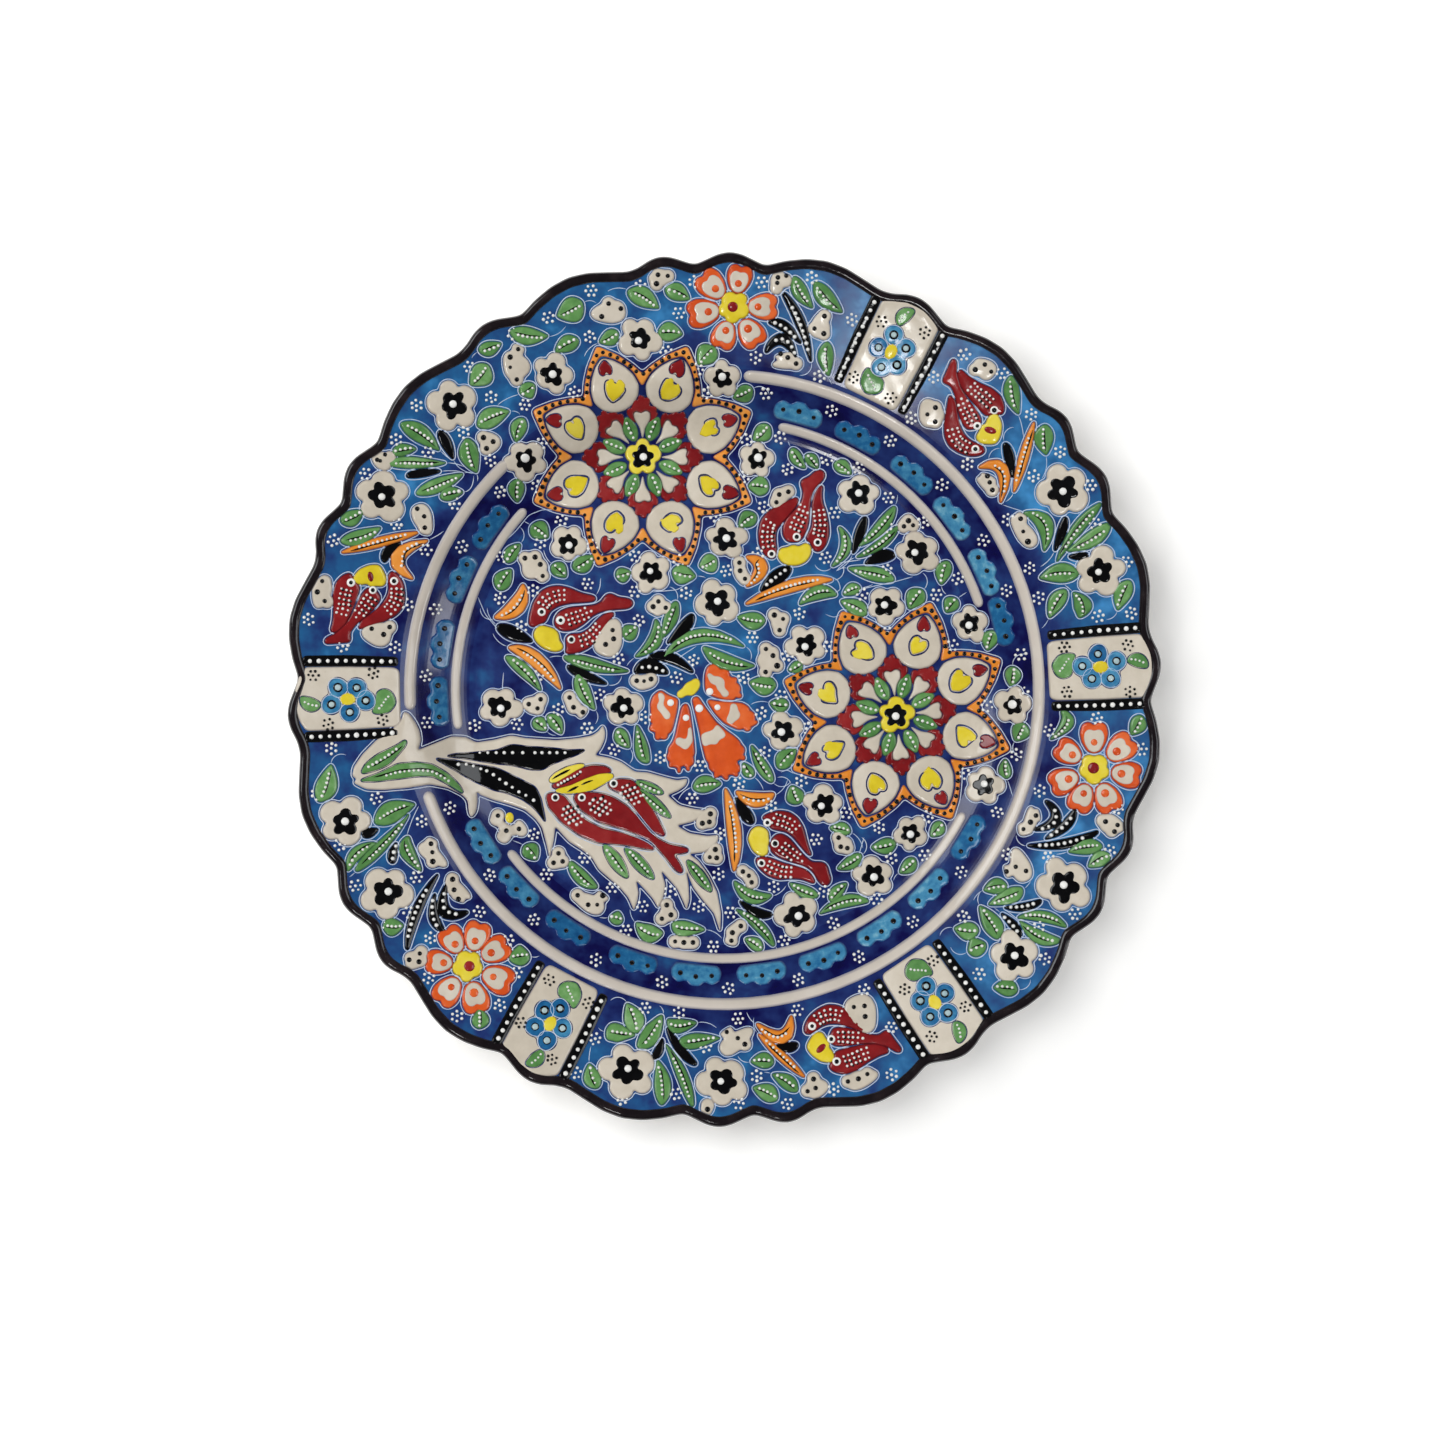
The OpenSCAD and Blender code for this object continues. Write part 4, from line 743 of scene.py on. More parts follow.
# black dots on the buds: on the rim in degrees and radius, in the well x and y
RIM_BUD_DOTS = [
    (26, 96.2), (27.9, 96.3), (30, 97.4), (36.7, 95.2), (38, 95.9), (39.1, 96.5), (50, 118), (51.3, 118.4),
    (51.9, 115.6), (53.2, 100.3), (51.8, 97.1), (53.6, 97.4), (75, 110), (74.4, 105.2), (76, 105.9),
    (81.5, 119.8), (82.6, 120), (82.6, 116.6), (77.6, 95.1), (79.2, 96.3), (80.5, 97), (97.8, 118.7),
    (99.1, 119.4), (99.5, 117), (105.2, 112.3), (108.2, 111.7), (106.7, 114.6), (121.2, 113.2),
    (122.8, 112.5), (123.6, 110.1), (123.8, 106.2), (133.7, 99.3), (133, 96.6), (134.6, 96.5), (145.3, 120),
    (146.5, 120.4), (146.4, 117.5), (149.5, 101.5), (150, 98.7), (151.6, 97), (164.9, 119), (166.5, 119),
    (167.5, 116.4), (170.2, 101.9), (170.8, 98.3), (169.4, 97), (207.7, 94.4), (209.1, 95.2), (210.5, 96.4),
    (214.9, 94.4), (216.5, 95.8), (218.2, 96.4), (220.6, 118), (221.7, 116.3), (220.9, 114.6), (267.7, 120.4),
    (270.4, 97.5), (272.2, 99.3), (273.3, 101.1), (281.7, 116.6), (282.9, 116.2), (282.9, 113.6),
    (287.5, 116.8), (289, 117), (290.4, 116.6), (293.3, 101.3), (292.2, 97.6), (293.9, 98.5), (329, 100.2),
    (328.7, 97.1), (327.2, 95.6), (335, 94), (336.6, 95), (338, 95.7), (340, 118), (341, 118.2),
    (340.9, 114.7)]
WELL_BUD_DOTS = [
    (-57.1, 37.7), (-54.2, 38), (-52.7, 35.9), (-52, 32.6), (-20.4, 23.8), (-18.9, 25.3), (-16.8, 23.5),
    (-32, 17.1), (-31.7, 14.6), (-34, 13), (-25.1, 2.6), (-23, 2.5), (-21, 3.1), (18.3, 56.7), (15.7, 55.9),
    (14.9, 53.7), (4.3, 36.4), (4.5, 34.1), (5.9, 31.8), (51.4, 46.8), (52.7, 48.4), (54, 47.1), (14.3, 21.4),
    (16.8, 20.3), (15.8, 17.1), (11.9, 11.7), (13.9, 9.8), (15.1, 6.9), (11.8, 5.1), (-56, -4.1),
    (-52.6, -2.7), (-53.5, -5.3), (-44.3, -2.2), (-43.2, -5), (-40.5, -6.4), (-4, -35.5), (-6.3, -38.2),
    (-4.3, -37.8), (-2.6, -45.7), (-4.2, -47.9), (-2.2, -48.1), (-47.5, -46.8), (-48.9, -49.5),
    (-46.3, -49.1), (-42, -58.8), (-34.8, -58.9), (-39, -61.5), (-36.4, -61.5), (-16.5, -61.6),
    (-15.3, -64.4), (-17.9, -65.5), (-14.1, -72), (-11.6, -72.3), (-9, -72.3), (-64.8, -36), (-62.4, -40.3),
    (-58.8, -39.8), (32.7, -42.3), (33.3, -44.9), (35.2, -45.3), (5.3, -52), (7, -53.2), (7.8, -55.1),
    (4.7, -67.6), (2.3, -69.5), (2, -71.8)]
BUD_DOTS = np.vstack([in_lip(polar(RIM_BUD_DOTS), 1.5), WELL_BUD_DOTS])

ON_TOP = RELIEF - 0.1  # what lies on a deposit starts a little inside it
LAID = {"base": ON_TOP, "high": OVERLAY}  # for a deposit that lies on another
relief("outer_ring", RING_CREAM, high=0.62, edge=1.3, pitch=0, step=0.9, grow=0)
relief("inner_ring", RING_CREAM, high=0.6, edge=1.1, pitch=0, step=0.9, grow=0)
relief("rim_panels", CREAM, pitch=1.5, grow=0.2)
relief("panel_bars", BLACK, high=0.6, grow=0.1)
relief("rosette_bands", AMBER, edge=0.7, grow=0.2)
relief("rosette_petals", CREAM, edge=1.0, grow=0.15)
relief("trefoil_bases", CREAM, edge=0.7, grow=0.05, step=0.4, soft=1)
relief("rosette_leaves", GREEN, high=0.62, edge=0.8, grow=0.3)
relief("rosette_centres", YELLOW, high=0.62, edge=0.8,
       shape=lambda q: lobes(q, 0.36, 0.5, 1.12))
relief("rosette_trefoils", RED, edge=0.7, grow=0, step=0.4, soft=1,
       shape=lambda q: scallops(q, "rosette_centres", 3.1, 0.8))
relief("rosette_hearts", YELLOW, **LAID, edge=0.6,
       shape=lambda q: heart(q, 3.3, RNG.uniform(-0.7, 1.1), 1.3, 0.14))
relief("rosette_darts", RED, **LAID, edge=0.6,
       shape=lambda q: heart(q, 2.4, math.pi + RNG.uniform(-0.3, 0.3), -0.3))
relief("great_tulip_ground", CREAM, edge=1.0, pitch=1.3, grow=0)
relief("great_tulip_petals", RED, **LAID, edge=0.7, grow=0.45)
relief("great_tulip_sepals", YELLOW, **LAID, edge=0.6, grow=0.3)
relief("great_tulip_leaves", GREEN, **LAID, edge=0.7, grow=0.2)
relief("great_tulip_blades", BLACK, **LAID, edge=0.7, grow=0.1)
relief("tulip_petals", RED, grow=0.35)
relief("tulip_cups", YELLOW, grow=0.3)
relief("carnation_patches", CREAM, base=ON_TOP, high=0.2, edge=0.5)
relief("carnation_cup", YELLOW, edge=0.6)
relief("carnation_petals", ORANGE, grow=0.35, step=0.4, soft=1,
       shape=lambda q: scallops(q, "carnation_cup", 3.3, 0.8, 0.62))
relief("ring_flower_petals", ORANGE, edge=0.8, grow=0.45, step=0.4, soft=0)
relief("ring_flower_hearts", CREAM, base=ON_TOP, high=0.2, edge=0.5, step=0.35, soft=0,
       grow=0.45)
relief("ring_flower_centres", YELLOW, high=0.6, shape=lambda q: lobes(q, 0.24, 0.6, 1.05))
relief("rim_daisies", CREAM, edge=1.0, shape=lambda q: lobes(q, 0.36, 0.55, 1.04))
relief("well_daisies", CREAM, edge=1.0, shape=lambda q: lobes(q, 0.36, 0.55, 1.04))
relief("daisy_hearts", BLACK, **LAID, edge=0.6,
       shape=lambda q: lobes(q, 0.38, 0.8, 1.36, 0.2))
relief("rim_leaves", GREEN, step=0.4, soft=1, grow=0.35, shape=leaf)
relief("well_leaves", GREEN, step=0.4, soft=1, grow=0.35, shape=leaf)
relief("amber_leaves", AMBER, step=0.4, soft=1, grow=0.35)
relief("dark_leaves", BLACK, high=0.45, grow=0.35,
       shape=lambda q: leaf(q, 0.3, 0.05, 1.12))
relief("buds", CREAM, step=0.4, soft=1, shape=lambda q: lobed(q, BUD_DOTS))
relief("band_clouds", SKY, edge=1.2, step=0.4, soft=1)
relief("panel_petals", SKY, **LAID, edge=0.7)
relief("panel_centres", YELLOW, base=ON_TOP, high=OVERLAY + 0.12, edge=0.7)
relief("panel_leaves", GREEN, **LAID, edge=0.7)


# ---- thin lines ----
def contour(glaze, loop, off, wide, base=0.0, high=LINE, wobble=0.12):
    """A line round an outline, off millimetres outside it, with a hand's small wobble."""
    p = loop - off * (1 + wobble * drift(loop[:, 0], loop[:, 1], 2.3, 6))[:, None] * normals(loop)
    p = p[gap(p, [loop]) > abs(off) * 0.8]
    if len(p) > 8:
        ribbon(glaze, even(p, 0.6, 1), wide, base, high)


def panel_spots(rows):
    """Points given as radius and sideways from the axis of each panel, for every panel."""
    out = []
    for c in middles("rim_panels"):
        out.append(turned(np.array(rows), math.radians(round(math.degrees(heading(c)), 1))))
    return np.vstack(out)


def ring(centre, r, n=22, dent=0.04):
    """A circle drawn by hand."""
    a = np.arange(n) * 2 * math.pi / n
    r = r * (1 + dent * np.sin(2 * a + centre[0]) + dent * np.sin(3 * a + centre[1]))
    return np.column_stack([centre[0] + r * np.cos(a), centre[1] + r * np.sin(a)])


# middles of the clusters of seven beads: on the rim in degrees and radius, in the band degrees, in the well
# x and y
RIM_CLUSTERS = [
    (10.7, 119.9), (17.6, 121.5), (11.1, 108.4), (16.3, 93.3), (21.7, 93.6), (24.1, 115.4), (29.2, 121.7),
    (31, 94.2), (34.6, 107), (35.3, 119.3), (41.9, 117.8), (42.8, 94.5), (48.7, 122), (54.4, 117),
    (56.2, 107), (55.4, 93.8), (71, 111.3), (78, 122.2), (73.1, 93.4), (84.8, 117.5), (84.6, 95),
    (94.2, 118.5), (101.8, 119), (108.5, 120.7), (110.9, 107.4), (96.9, 107.9), (99.8, 97.7), (94.7, 91.6),
    (115.3, 117), (116.8, 94.9), (120.7, 121.2), (125, 99), (126.6, 87.4), (128.3, 118.8), (128.6, 106.4),
    (93.2, 84.7), (137.3, 119), (142.7, 119), (149, 120.2), (141.3, 108), (153.2, 104.5), (159.1, 119.9),
    (170.4, 120.8), (173.5, 109.3), (165, 93.4), (172.7, 94.5), (145.4, 93.4), (154.9, 94), (135.6, 93.4),
    (135.4, 104.3), (188.5, 113), (194.4, 121.5), (202, 119.8), (208, 120.5), (197.3, 103.8), (215.2, 121),
    (211.3, 102.7), (215.3, 109.8), (220.2, 109.5), (203.5, 94), (222.2, 94.2), (224.3, 120.2),
    (230.7, 120.8), (234.6, 110.2), (233.7, 100), (229.2, 94.3), (248.8, 119), (256, 121.5), (249.7, 106),
    (256, 93.5), (262, 93), (263.2, 115.7), (267, 101.8), (272, 119.8), (278.6, 120.8), (274.8, 110.3),
    (272.4, 93.8), (285.3, 119.3), (293.5, 119.4), (296.3, 107.2), (282.8, 93.7), (294.9, 94.3),
    (311.8, 108.5), (320, 121), (327.4, 120.7), (323, 112), (316.5, 94), (329.9, 93.3), (332.7, 103.8),
    (337.3, 121), (343.2, 118.6), (351.8, 121.4), (355.6, 106.3), (342.2, 94.3), (352.9, 93.4)]
BAND_CLUSTERS = [
    6.8, 19.4, 30, 43.2, 56.3, 69, 82, 138.6, 151.4, 164.4, 177.3, 186.3, 203.3, 218.4, 230.3, 244.6, 258,
    270.9, 284.3, 296.7, 309.1, 322.4, 335.8, 347.5, 359.3]
WELL_CLUSTERS = [
    (-53.5, 58.1), (-46.7, 48.5), (-52.6, 42.2), (-37.7, 41.3), (-25.5, 38.2), (-13, 37.1), (-2.5, 49.6),
    (-63.7, 38), (-39.1, 30.4), (-54.7, 28.4), (-25.7, 28.2), (-10.9, 27.7), (0.5, 34), (-58.1, 18.1),
    (-24.5, 19.9), (-64.3, 26.2), (-30.4, 9), (-53.3, 4.1), (-8.8, 8.5), (-13.7, 3.4), (6.4, 71.6),
    (15.9, 72.1), (18.1, 63.1), (29.2, 66), (38.4, 63.4), (46.9, 55), (5.5, 60.9), (11.3, 52.4), (31.6, 50.7),
    (9.6, 38.9), (29, 37.8), (56.9, 47.9), (46.4, 34.3), (46.5, 46.6), (66.8, 31.8), (39.5, 27.3),
    (60.6, 27.2), (21.5, 21.8), (8, 15), (18.1, 9.8), (30, 12.4), (46.9, 16.5), (65.2, 12.7), (5.6, 3.5),
    (-71.4, -10.2), (-59.4, -9.8), (-47.6, -5.6), (-39.3, -11), (-35.4, -1.5), (-22.5, -7.9), (-31.6, -17.1),
    (-18.4, -19.4), (-7, -21.8), (-9.2, -31.1), (-54.6, -41.4), (-39.9, -48), (-50.9, -52.8), (-32, -56.6),
    (-15.5, -57.7), (-23.5, -62), (-7.3, -62.1), (-1.6, -52.8), (-1.2, -41.1), (-28.2, -68.8), (-3.1, -73.5),
    (10.5, -6.6), (23.7, -11), (16.3, -1.8), (11.6, -18.1), (22.1, -26), (13.4, -33.2), (35, -35.2),
    (44.3, -39.5), (26.3, -42.9), (4.3, -26.8), (58.2, -36.3), (68.6, -23.9), (47.8, -48.2), (57.4, -47.4),
    (28.6, -57.7), (14.2, -56.4), (1.8, -63.8), (31.2, -66.8), (17.1, -71.7), (43.6, -59.9), (75, -4.6)]

LEAVES = ("rim_leaves", "well_leaves", "amber_leaves", "dark_leaves")
MOTIFS = LEAVES + ("rim_daisies", "well_daisies", "tulip_petals", "tulip_cups", "carnation_petals",
                   "ring_flower_petals", "ring_flower_centres", "buds")
pale = Glaze()
for names, off, wide, base in ((MOTIFS, 0.36, 0.42, 0),
                               (("rosette_bands", "great_tulip_ground"), 0.5, 0.4, 0),
                               (("great_tulip_petals",), 0.55, 0.4, RELIEF - 0.05)):
    for loops in sum((AREAS[name] for name in names), []):
        contour(pale, loops[0], off, wide, base)
PANEL_FLOWER = panel_spots([(109.9, -3.1), (111.8, 1.7), (106.7, 4), (102.1, 0.8), (104.6, -2.9)])
for spot in PANEL_FLOWER:
    ribbon(pale, ring(spot, 2.75), 0.36, ON_TOP + OVERLAY - 0.05, 0.1)
OTHERS = ("rosette_bands", "great_tulip_ground", "rim_panels", "panel_bars", "band_clouds", "inner_ring",
          "outer_ring")
outline_points = np.vstack([q for name in MOTIFS + OTHERS for loops in AREAS[name] for q in loops])
NEAR = KDTree(len(outline_points))
for i, p in enumerate(outline_points):
    NEAR.insert((*p, 0), i)
NEAR.balance()
RIM_SPOTS = in_lip(polar(RIM_CLUSTERS), 2.3)
SPOTS = np.vstack([RIM_SPOTS, WELL_CLUSTERS])


def free_run(line, clear=0.8):
    """The line up to where it meets another motif, a cluster of beads or the lip."""
    past = np.hypot(*(line - in_lip(line, 0.6)).T) > 0
    if past[:3].any():
        return line[:0]
    for i, p in enumerate(line[3:], 3):
        if past[i] or NEAR.find((*p, 0))[2] < clear or np.hypot(*(SPOTS - p).T).min() < 2.3:
            return line[:i]
    return line


# where the stems of each spray of leaves meet
ROOTS = np.array([(-71.4, 61.5), (-87, -33), (-81, -51), (-18.5, -90), (71, -60), (84.5, -43.4), (90, 35),
                  (25, 91), (78.5, 53), (8.5, -93), (32, 34)])


def stem_to_root(line):
    """The stem from the end of a leaf's spine to the root it points at, or an empty line."""
    tip = line[-1]
    root = ROOTS[np.hypot(*(ROOTS - tip).T).argmin()]
    far = np.hypot(*(root - tip))
    ahead = (tip - line[-5]) / np.hypot(*(tip - line[-5]))
    if far > 28 or ahead @ (root - tip) < 0.35 * far:
        return line[:0]
    t = np.arange(0.4, far, 0.4)[:, None] / far
    return free_run((1 - t) ** 2 * tip + 2 * t * (1 - t) * (tip + 0.5 * far * ahead) + t**2 * root, 0.5)


def curled(line, curl):
    """A short tail from the end of a line, which turns by curl in each millimetre."""
    turn = heading(line[-1] - line[-5]) + curl * np.arange(0, 6, 0.4)
    return free_run(line[-1] + np.cumsum(np.column_stack([np.cos(turn), np.sin(turn)]) * 0.4, axis=0))


for name in LEAVES:
    for loops in AREAS[name]:
        mid = spine(loops[0])
        best = max(stem_to_root(mid), stem_to_root(mid[::-1]), key=len)
        if len(best) < 6:
            tails = [curled(line, curl) for line in (mid, mid[::-1]) for curl in (-0.34, -0.16, 0.16, 0.34)]
            best = max([best] + tails, key=len)
        if len(best) > 5:
            ribbon(pale, best, 0.36, high=0.13, closed=False)
STEMS = [
    [(-46.5, 51.4), (-52, 51.6), (-56, 50), (-59.5, 45.6), (-62, 43.2)],
    [(-33.2, 43.4), (-34, 40.5), (-35.6, 37.6)],
    [(-70.5, 26.5), (-68.4, 21.5), (-64.4, 16.8), (-60.5, 15.4)], [(-36.6, 27.3), (-35.6, 29.2), (-35.4, 32)],
    [(-21, 28), (-13.5, 28.6), (-9.2, 31.2)], [(9.4, 53.4), (8.8, 55.6)], [(10.4, 51.2), (14.5, 49.8)],
    [(30.6, 35), (33, 36.4), (39, 37.2)], [(31, 27.6), (33.4, 28.6), (32.6, 31.4), (30.2, 32.6)],
    [(36, 28), (42.5, 29.6), (49, 31), (54, 32.4)], [(16.2, -23.6), (18, -22.8), (19.8, -24)],
    [(34.8, -49), (38.4, -47.6), (40, -42.2)], [(-8, 12.5), (-14, 8.6), (-20.5, 6.2)],
    [(29, 21.6), (31.6, 20.6), (33.2, 21.6)], [(-63.2, 5), (-63.6, 0.5), (-62.2, -3.6)]]
for stem in STEMS:
    ribbon(pale, even(stem, 0.5, 3, closed=False), 0.36, high=0.13, closed=False)
pale.piece("pale_lines", PALE)

ink = Glaze()
for loops in AREAS["rosette_hearts"]:
    contour(ink, loops[0], 0.32, 0.66, base=RELIEF + 0.02, high=0.12, wobble=0.5)
for name, off in (("panel_petals", 0.1), ("panel_leaves", 0.12), ("great_tulip_petals", 0.12),
                  ("great_tulip_sepals", 0.1), ("great_tulip_leaves", 0.12), ("great_tulip_blades", 0.06),
                  ("rosette_darts", 0.1)):
    for loops in AREAS[name]:
        contour(ink, loops[0], off, 0.42, base=RELIEF - 0.03, high=0.14)
for name in ("rosette_petals", "rosette_trefoils", "rosette_centres", "rosette_leaves"):
    for loops in AREAS[name]:
        contour(ink, loops[0], 0.12, 0.34)
ink.piece("dark_lines", INK)

# ---- veins and beads ----
white, black = Glaze(), Glaze()
# stretches of the rim, in degrees, where the dark leaves carry beads; in the well those wider than this do
BEADED = ((66, 82), (203, 228), (318, 347))
BROAD_LEAF = 4.2


def is_beaded(mid, loops):
    """Whether a dark leaf with this spine carries beads."""
    if np.hypot(*mid[15]) < RISE_OUT:
        return 2 * gap(mid[10:20], loops).max() > BROAD_LEAF
    a = math.degrees(heading(mid[15])) % 360
    return any(lo < a < hi for lo, hi in BEADED)


for name in LEAVES + ("rosette_leaves", "great_tulip_leaves"):
    up = ON_TOP + OVERLAY if name == "great_tulip_leaves" else RELIEF
    for loops in AREAS[name]:
        mid = spine(loops[0])
        dark = name == "dark_leaves"
        if dark and not is_beaded(mid, loops):
            continue
        if RNG.random() < 0.5:
            mid = mid[::-1]
        side = normals(mid, closed=False) * (0.22 * (1 if RNG.random() < 0.5 else -1))
        if not dark:
            ribbon(black, along(mid + side, 0.2, 0.88, 0.6), 0.6, up, 0.1, closed=False)
        pitch, size = (1.8, 1.25) if dark else (1.32, 1.0)
        dots(white, along(mid - side, 0.17, 0.76, pitch), size, up, 0.36)

CLUSTER = np.vstack([[(0, 0)], polar([(k * 60, 1.42) for k in range(6)])])


def clusters(glaze, centres, size=1.06, base=0.0, spread=1.03):
    """Six beads round one at each centre."""
    for centre in centres:
        p = turned(CLUSTER * spread, RNG.random() * math.pi / 3) + centre
        dots(glaze, p + RNG.normal(0, 0.09, (7, 2)), size, base)


clusters(white, RIM_SPOTS)
clusters(white, polar([(a, 85.3) for a in BAND_CLUSTERS]))
clusters(white, WELL_CLUSTERS)

PANEL_CLUSTERS = [
    (6.3, 115.4), (7.1, 97.5), (-0.3, 115.4), (-0.3, 97.5), (60.7, 116.4), (66.9, 113.8), (60.3, 95.6),
    (67.5, 96.3), (238.6, 111), (238.9, 96.6), (245, 116), (246.5, 97.3), (178, 117), (177.3, 100),
    (185, 113), (185, 97.7), (300.9, 115), (301, 99.6), (307.2, 113.2), (307.6, 97.4)]
clusters(black, polar(PANEL_CLUSTERS), 1.0, RELIEF, 1.0)

for loops in AREAS["panel_bars"]:
    dots(white, along(spine(loops[0]), 0.08, 0.92, 2.4), 1.3, RELIEF, 0.4, BIG_DOME)
mist = Glaze()
for size, glaze, more in ((2.75, black, 0), (1.75, mist, 0.14)):
    dots(glaze, PANEL_FLOWER, size, ON_TOP + OVERLAY - 0.05 + more, 0.26, BIG_DOME, uneven=0.05)
mist.piece("panel_flower_eyes", MIST)
for loops in AREAS["panel_leaves"]:
    dots(white, along(spine(loops[0]), 0.2, 0.72, 1.2), 0.85, ON_TOP + OVERLAY, 0.34)
for c in middles("daisy_hearts"):
    dots(white, [c + RNG.uniform(-0.6, 0.6, 2)], 2.25, ON_TOP + OVERLAY - 0.06, 0.5, BIG_DOME)
for loops in AREAS["rosette_bands"]:
    outer, hole = loops[0], loops[1]
    near = hole[((outer[:, None] - hole[None]) ** 2).sum(2).argmin(1)]
    middle = even((outer + near) / 2, 0.8, 1)
    dots(black, along(np.vstack([middle, middle[:1]]), 0, 1, 2.2)[:-1], 1.32, RELIEF - 0.12, 0.34, BIG_DOME)
for c in middles("band_clouds"):
    a = math.degrees(heading(c))
    three = polar([(a - 3.15, 81.8), (a, 82.3), (a + 3.15, 81.8)])
    dots(black, three, 1.5, RELIEF, 0.4, BIG_DOME)

orange = Glaze()
for c in middles("ring_flower_hearts"):
    inward = nearest("ring_flower_centres", c) - c
    dots(orange, [c + inward / np.hypot(*inward) * 0.75], 2.3, ON_TOP + 0.16, 0.3, BIG_DOME)
orange.piece("ring_flower_dots", ORANGE)
red = Glaze()
for c in middles("ring_flower_centres"):
    dots(red, [c + RNG.uniform(-0.5, 0.5, 2)], 3.2, RELIEF, 0.35, BIG_DOME)
for c in middles("tulip_cups"):
    if np.hypot(*c) > RISE_OUT:
        dots(red, [c], 3.4, RELIEF - 0.05, 0.32, BIG_DOME, squash=0.55, turn=heading(c) + 0.5)
red.piece("flower_eyes_and_tongues", RED)

dots(black, BUD_DOTS, 1.5, RELIEF - 0.06, 0.4, BIG_DOME, uneven=0.1)
dots(black, polar([(134.3, 107)]), 1.2, 0, 0.4, BIG_DOME)
yellow = Glaze()
dots(yellow, [(-61.5, -36.6)], 3.0, 0, 0.6, BIG_DOME, squash=0.8)
yellow.piece("small_flower_centre", YELLOW)

# eyes at the foot of the tulip petals, and the beads that follow each along its petal
EYES = [(-52.3, 22.3), (-46.9, 19.9), (-43.8, 14.4), (13.5, 38.9), (20.7, 43.8), (26.7, 42.2), (12.3, -38),
        (14.5, -44), (10.6, -49.6)]
RIM_TULIPS = (42.2, 160.2, 283)
EYES += [tuple(p) for a in RIM_TULIPS for p in polar([(a + 3.8, 110.5), (a + 4, 104), (a + 1.6, 99)])]
for x, y in EYES:
    eye = np.array([x, y])
    loops = min(AREAS["tulip_petals"], key=lambda q: gap(eye[None], q)[0] - 5 * inside(eye[None], q)[0])
    mid = spine(loops[0])
    if np.hypot(*(mid[0] - eye)) > np.hypot(*(mid[-1] - eye)):
        mid = mid[::-1]
    mid = along(mid, 0, 1, 0.35)
    begin = np.hypot(*(mid - eye).T).argmin()
    k = normals(mid, closed=False)
    for row in (-1, 0, 1):
        at = np.arange(begin + 6, min(begin + 28, len(mid)), 4)
        p = mid[at] + 1.4 * row * k[at] + RNG.normal(0, 0.07, (len(at), 2))
        p = p[inside(p, loops)]
        p = p[gap(p, loops) > 0.45]
        if len(p):
            dots(white, p, 0.9, RELIEF - 0.02, 0.36)
            dots(black, p[: len(p) // 2 + 1] + (0.42, -0.3), 0.85, RELIEF - 0.03, 0.14, uneven=0.2)
GREAT_EYES = [(-48.4, -30.8), (-40.8, -30.8), (-31.7, -26.8)]
for spots, up in ((EYES, RELIEF), (GREAT_EYES, ON_TOP + OVERLAY)):
    dots(white, spots, 2.5, up - 0.05, 0.34, BIG_DOME, uneven=0.03)
    dots(black, spots, 1.35, up + 0.16, 0.28, BIG_DOME)
up = ON_TOP + OVERLAY
# a lattice of beads without its corners on each petal of the great tulip: its middle, and its lean in degrees
LATTICE = [(i, j) for i in range(-2, 3) for j in (-1.5, -0.5, 0.5, 1.5) if abs(i) < 2 or abs(j) < 1.5]
for middle, lean in (((-43.5, -36), -50), ((-35.5, -33.5), -30), ((-26.8, -30), -55)):
    for i, j in LATTICE:
        spot = turned(np.array((1.45 * i + 0.3 * j, 1.4 * j)), math.radians(lean)) + middle
        dots(white, [spot], 1.05, up)
        if i + j < 1:
            dots(black, [spot + (0.55, 0.5)], 0.95, up - 0.02, 0.12, uneven=0.2)
BLADE_BEADS = [(x, -18) for x in (-70, -67.7, -65.3, -63, -60.6, -57.7, -54.2, -52.2, -50, -47.9, -45.6)] + [
    (-76, -21.3), (-73.8, -21.3), (-71.8, -21.8), (-69.7, -22.6), (-68, -23.2), (-66.1, -24.3),
    (-64.3, -25.6), (-62.5, -26.8), (-60.7, -27.9), (-58.8, -29.2), (-56.8, -30.2), (-54.6, -31.6)]
dots(white, BLADE_BEADS, 1.2, up)
SEPAL_DASHES = [
    [(-49.4, -25.6), (-47.8, -24.6), (-46, -23.7), (-44.1, -22.8)],
    [(-45, -29.2), (-43.2, -28.3), (-41.7, -27.6)], [(-41, -27.2), (-39.2, -26.4), (-37.6, -25.9)],
    [(-46.8, -27.2), (-44.6, -26), (-42.2, -24.6), (-40.8, -23.6)]]
for dash in SEPAL_DASHES:
    ribbon(black, even(dash, 0.5, 1, closed=False), 0.95, up - 0.02, 0.14, closed=False)
SEPAL_BEADS = np.array([(-47.6, -27.2), (-45, -25.7), (-43, -24.8), (-41.2, -23.5)])
dots(white, along(SEPAL_BEADS, 0, 1, 1.1), 0.95, up)
# one bead at the foot of each carnation petal
CARNATION_BEADS = [(-15.4, -3.7), (-11, -8), (-7.2, -5.3), (-2, -5), (-4.2, -0.5)]
dots(white, CARNATION_BEADS, 2.1, RELIEF - 0.04, 0.3, BIG_DOME)
white.piece("white_beads", WHITE)
black.piece("black_dots_and_veins", BLACK)

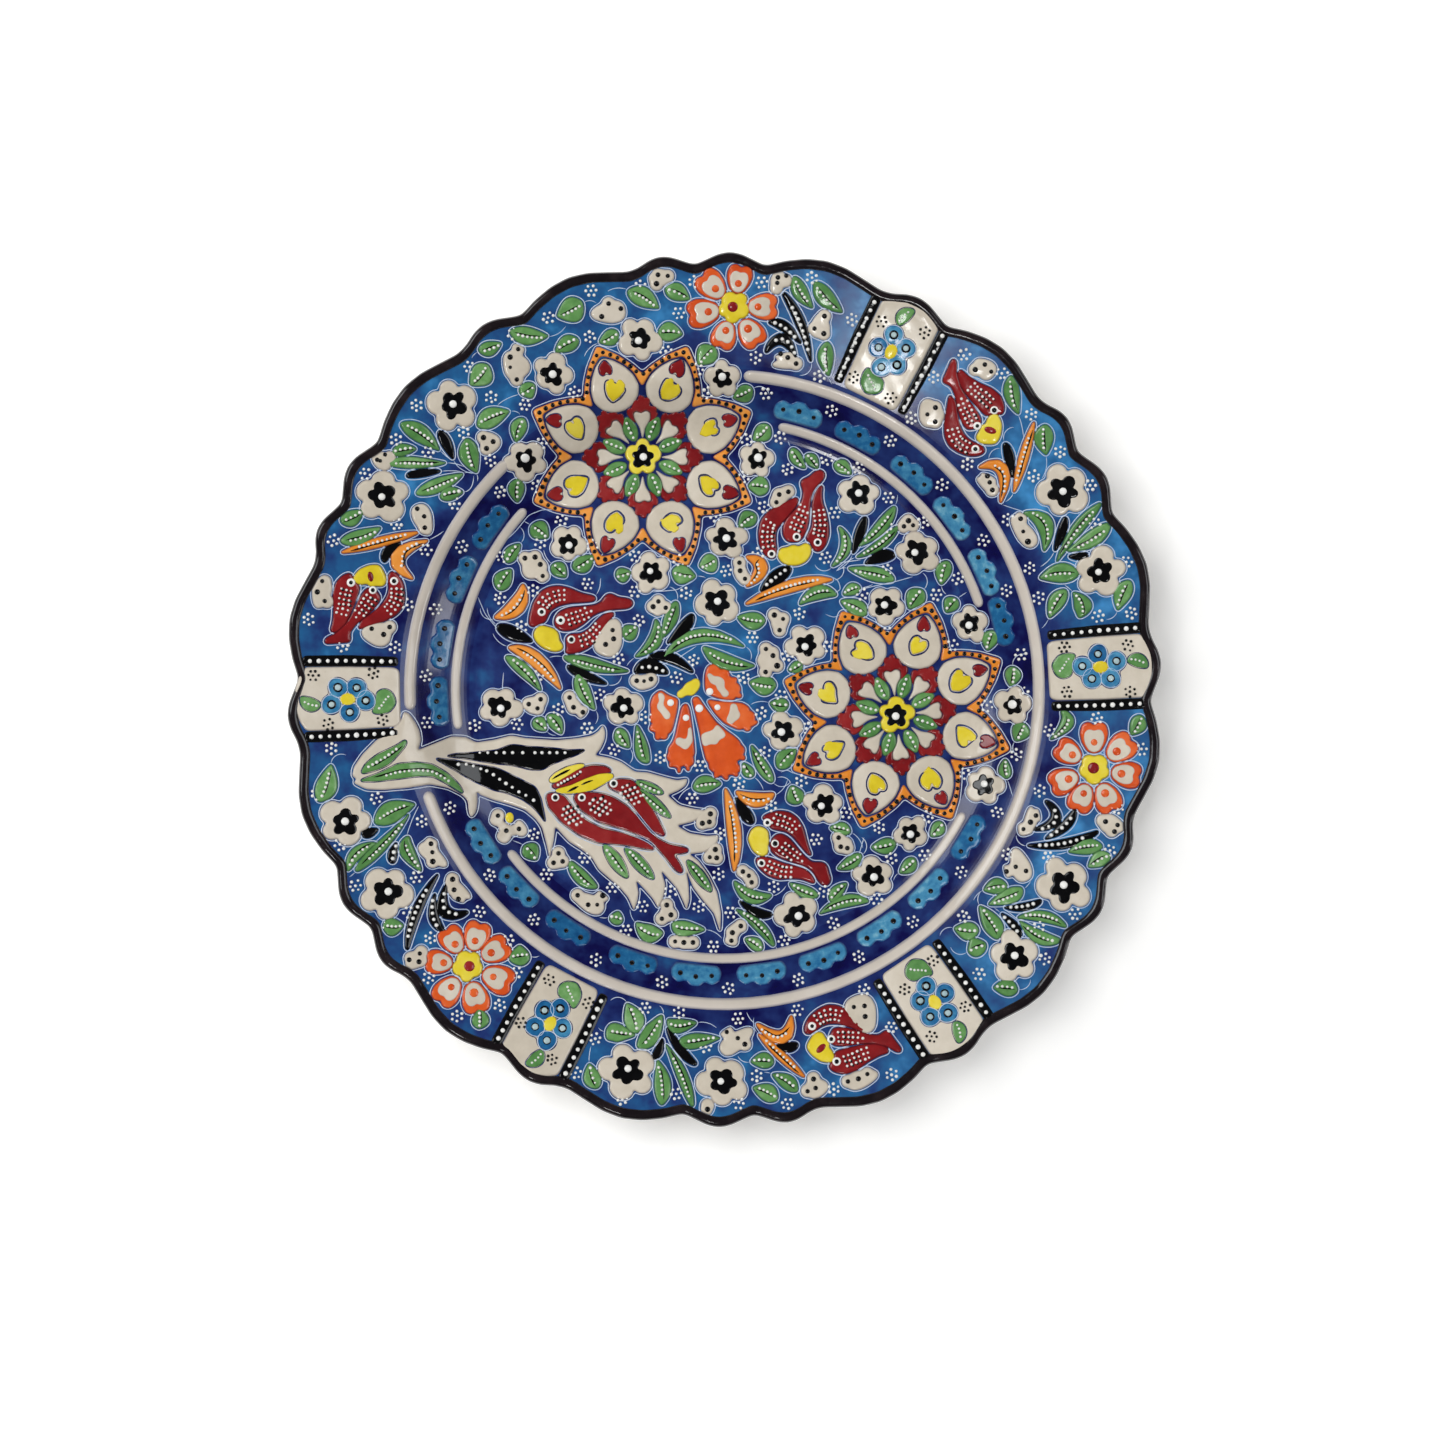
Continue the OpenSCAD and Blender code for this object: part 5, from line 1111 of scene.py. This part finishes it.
# ---- floor, light and camera ----
FLOOR_REACH = 6.0
floor_mesh = bpy.data.meshes.new("floor")
corners = [(x * FLOOR_REACH, y * FLOOR_REACH, 0) for x, y in ((-1, -1), (1, -1), (1, 1), (-1, 1))]
floor_mesh.from_pydata(corners, [], [(0, 1, 2, 3)])
paper = bpy.data.materials.new("floor_paper")
paper.use_nodes = True
for socket, value in (("Base Color", (0.97, 0.97, 0.97, 1)), ("Roughness", 0.9),
                      ("Emission Color", (0.93, 0.965, 1, 1)), ("Emission Strength", 0.26)):
    paper.node_tree.nodes["Principled BSDF"].inputs[socket].default_value = value
floor_mesh.materials.append(paper)
floor = bpy.data.objects.new("floor", floor_mesh)
bpy.context.scene.collection.objects.link(floor)

scene = bpy.context.scene
world = bpy.data.worlds.new("studio")
scene.world = world
world.use_nodes = True
world.node_tree.nodes["Background"].inputs["Color"].default_value = (1, 1, 1, 1)
world.node_tree.nodes["Background"].inputs["Strength"].default_value = 0.04


def softbox(name, at, size, power, colour=(1, 1, 1), glossy=True):
    """An area light that faces the plate; one that isn't glossy lights it without a highlight."""
    data = bpy.data.lights.new(name, "AREA")
    data.shape, data.size, data.size_y, data.energy, data.color = "RECTANGLE", size[0], size[1], power, colour
    lamp = bpy.data.objects.new(name, data)
    lamp.location = at
    lamp.visible_glossy = glossy
    lamp.rotation_euler = (-Vector(at)).to_track_quat("-Z", "Y").to_euler()
    scene.collection.objects.link(lamp)


softbox("key", (-1.75, 0.75, 1.6), (1.3, 1.3), 16, (0.95, 0.98, 1.0))
softbox("top", (-0.54, 0.28, 2.15), (1.1, 1.1), 31.5, (1.0, 0.985, 0.955), glossy=False)
softbox("fill", (1.7, 0.3, 1.6), (1.2, 1.2), 8.5, (0.93, 0.96, 1.0))
softbox("window", (-0.42, -0.86, 2.0), (0.22, 0.3), 3)
softbox("low_window", (1.5, -0.3, 0.36), (0.4, 0.3), 1.5)

VIEW_WIDTH = 0.4105  # what the frame spans at the height of the rim
AIM = Vector((-0.54, -9.35)) * MM
lens = bpy.data.cameras.new("camera")
camera = bpy.data.objects.new("camera", lens)
scene.collection.objects.link(camera)
FAR = 2.6
camera.location = (AIM.x, AIM.y, CAD_BOX[1].z + FAR)
lens.sensor_width = 36
lens.lens = 36 * FAR / VIEW_WIDTH
lens.clip_end = 20
scene.camera = camera
scene.view_settings.view_transform = "Standard"
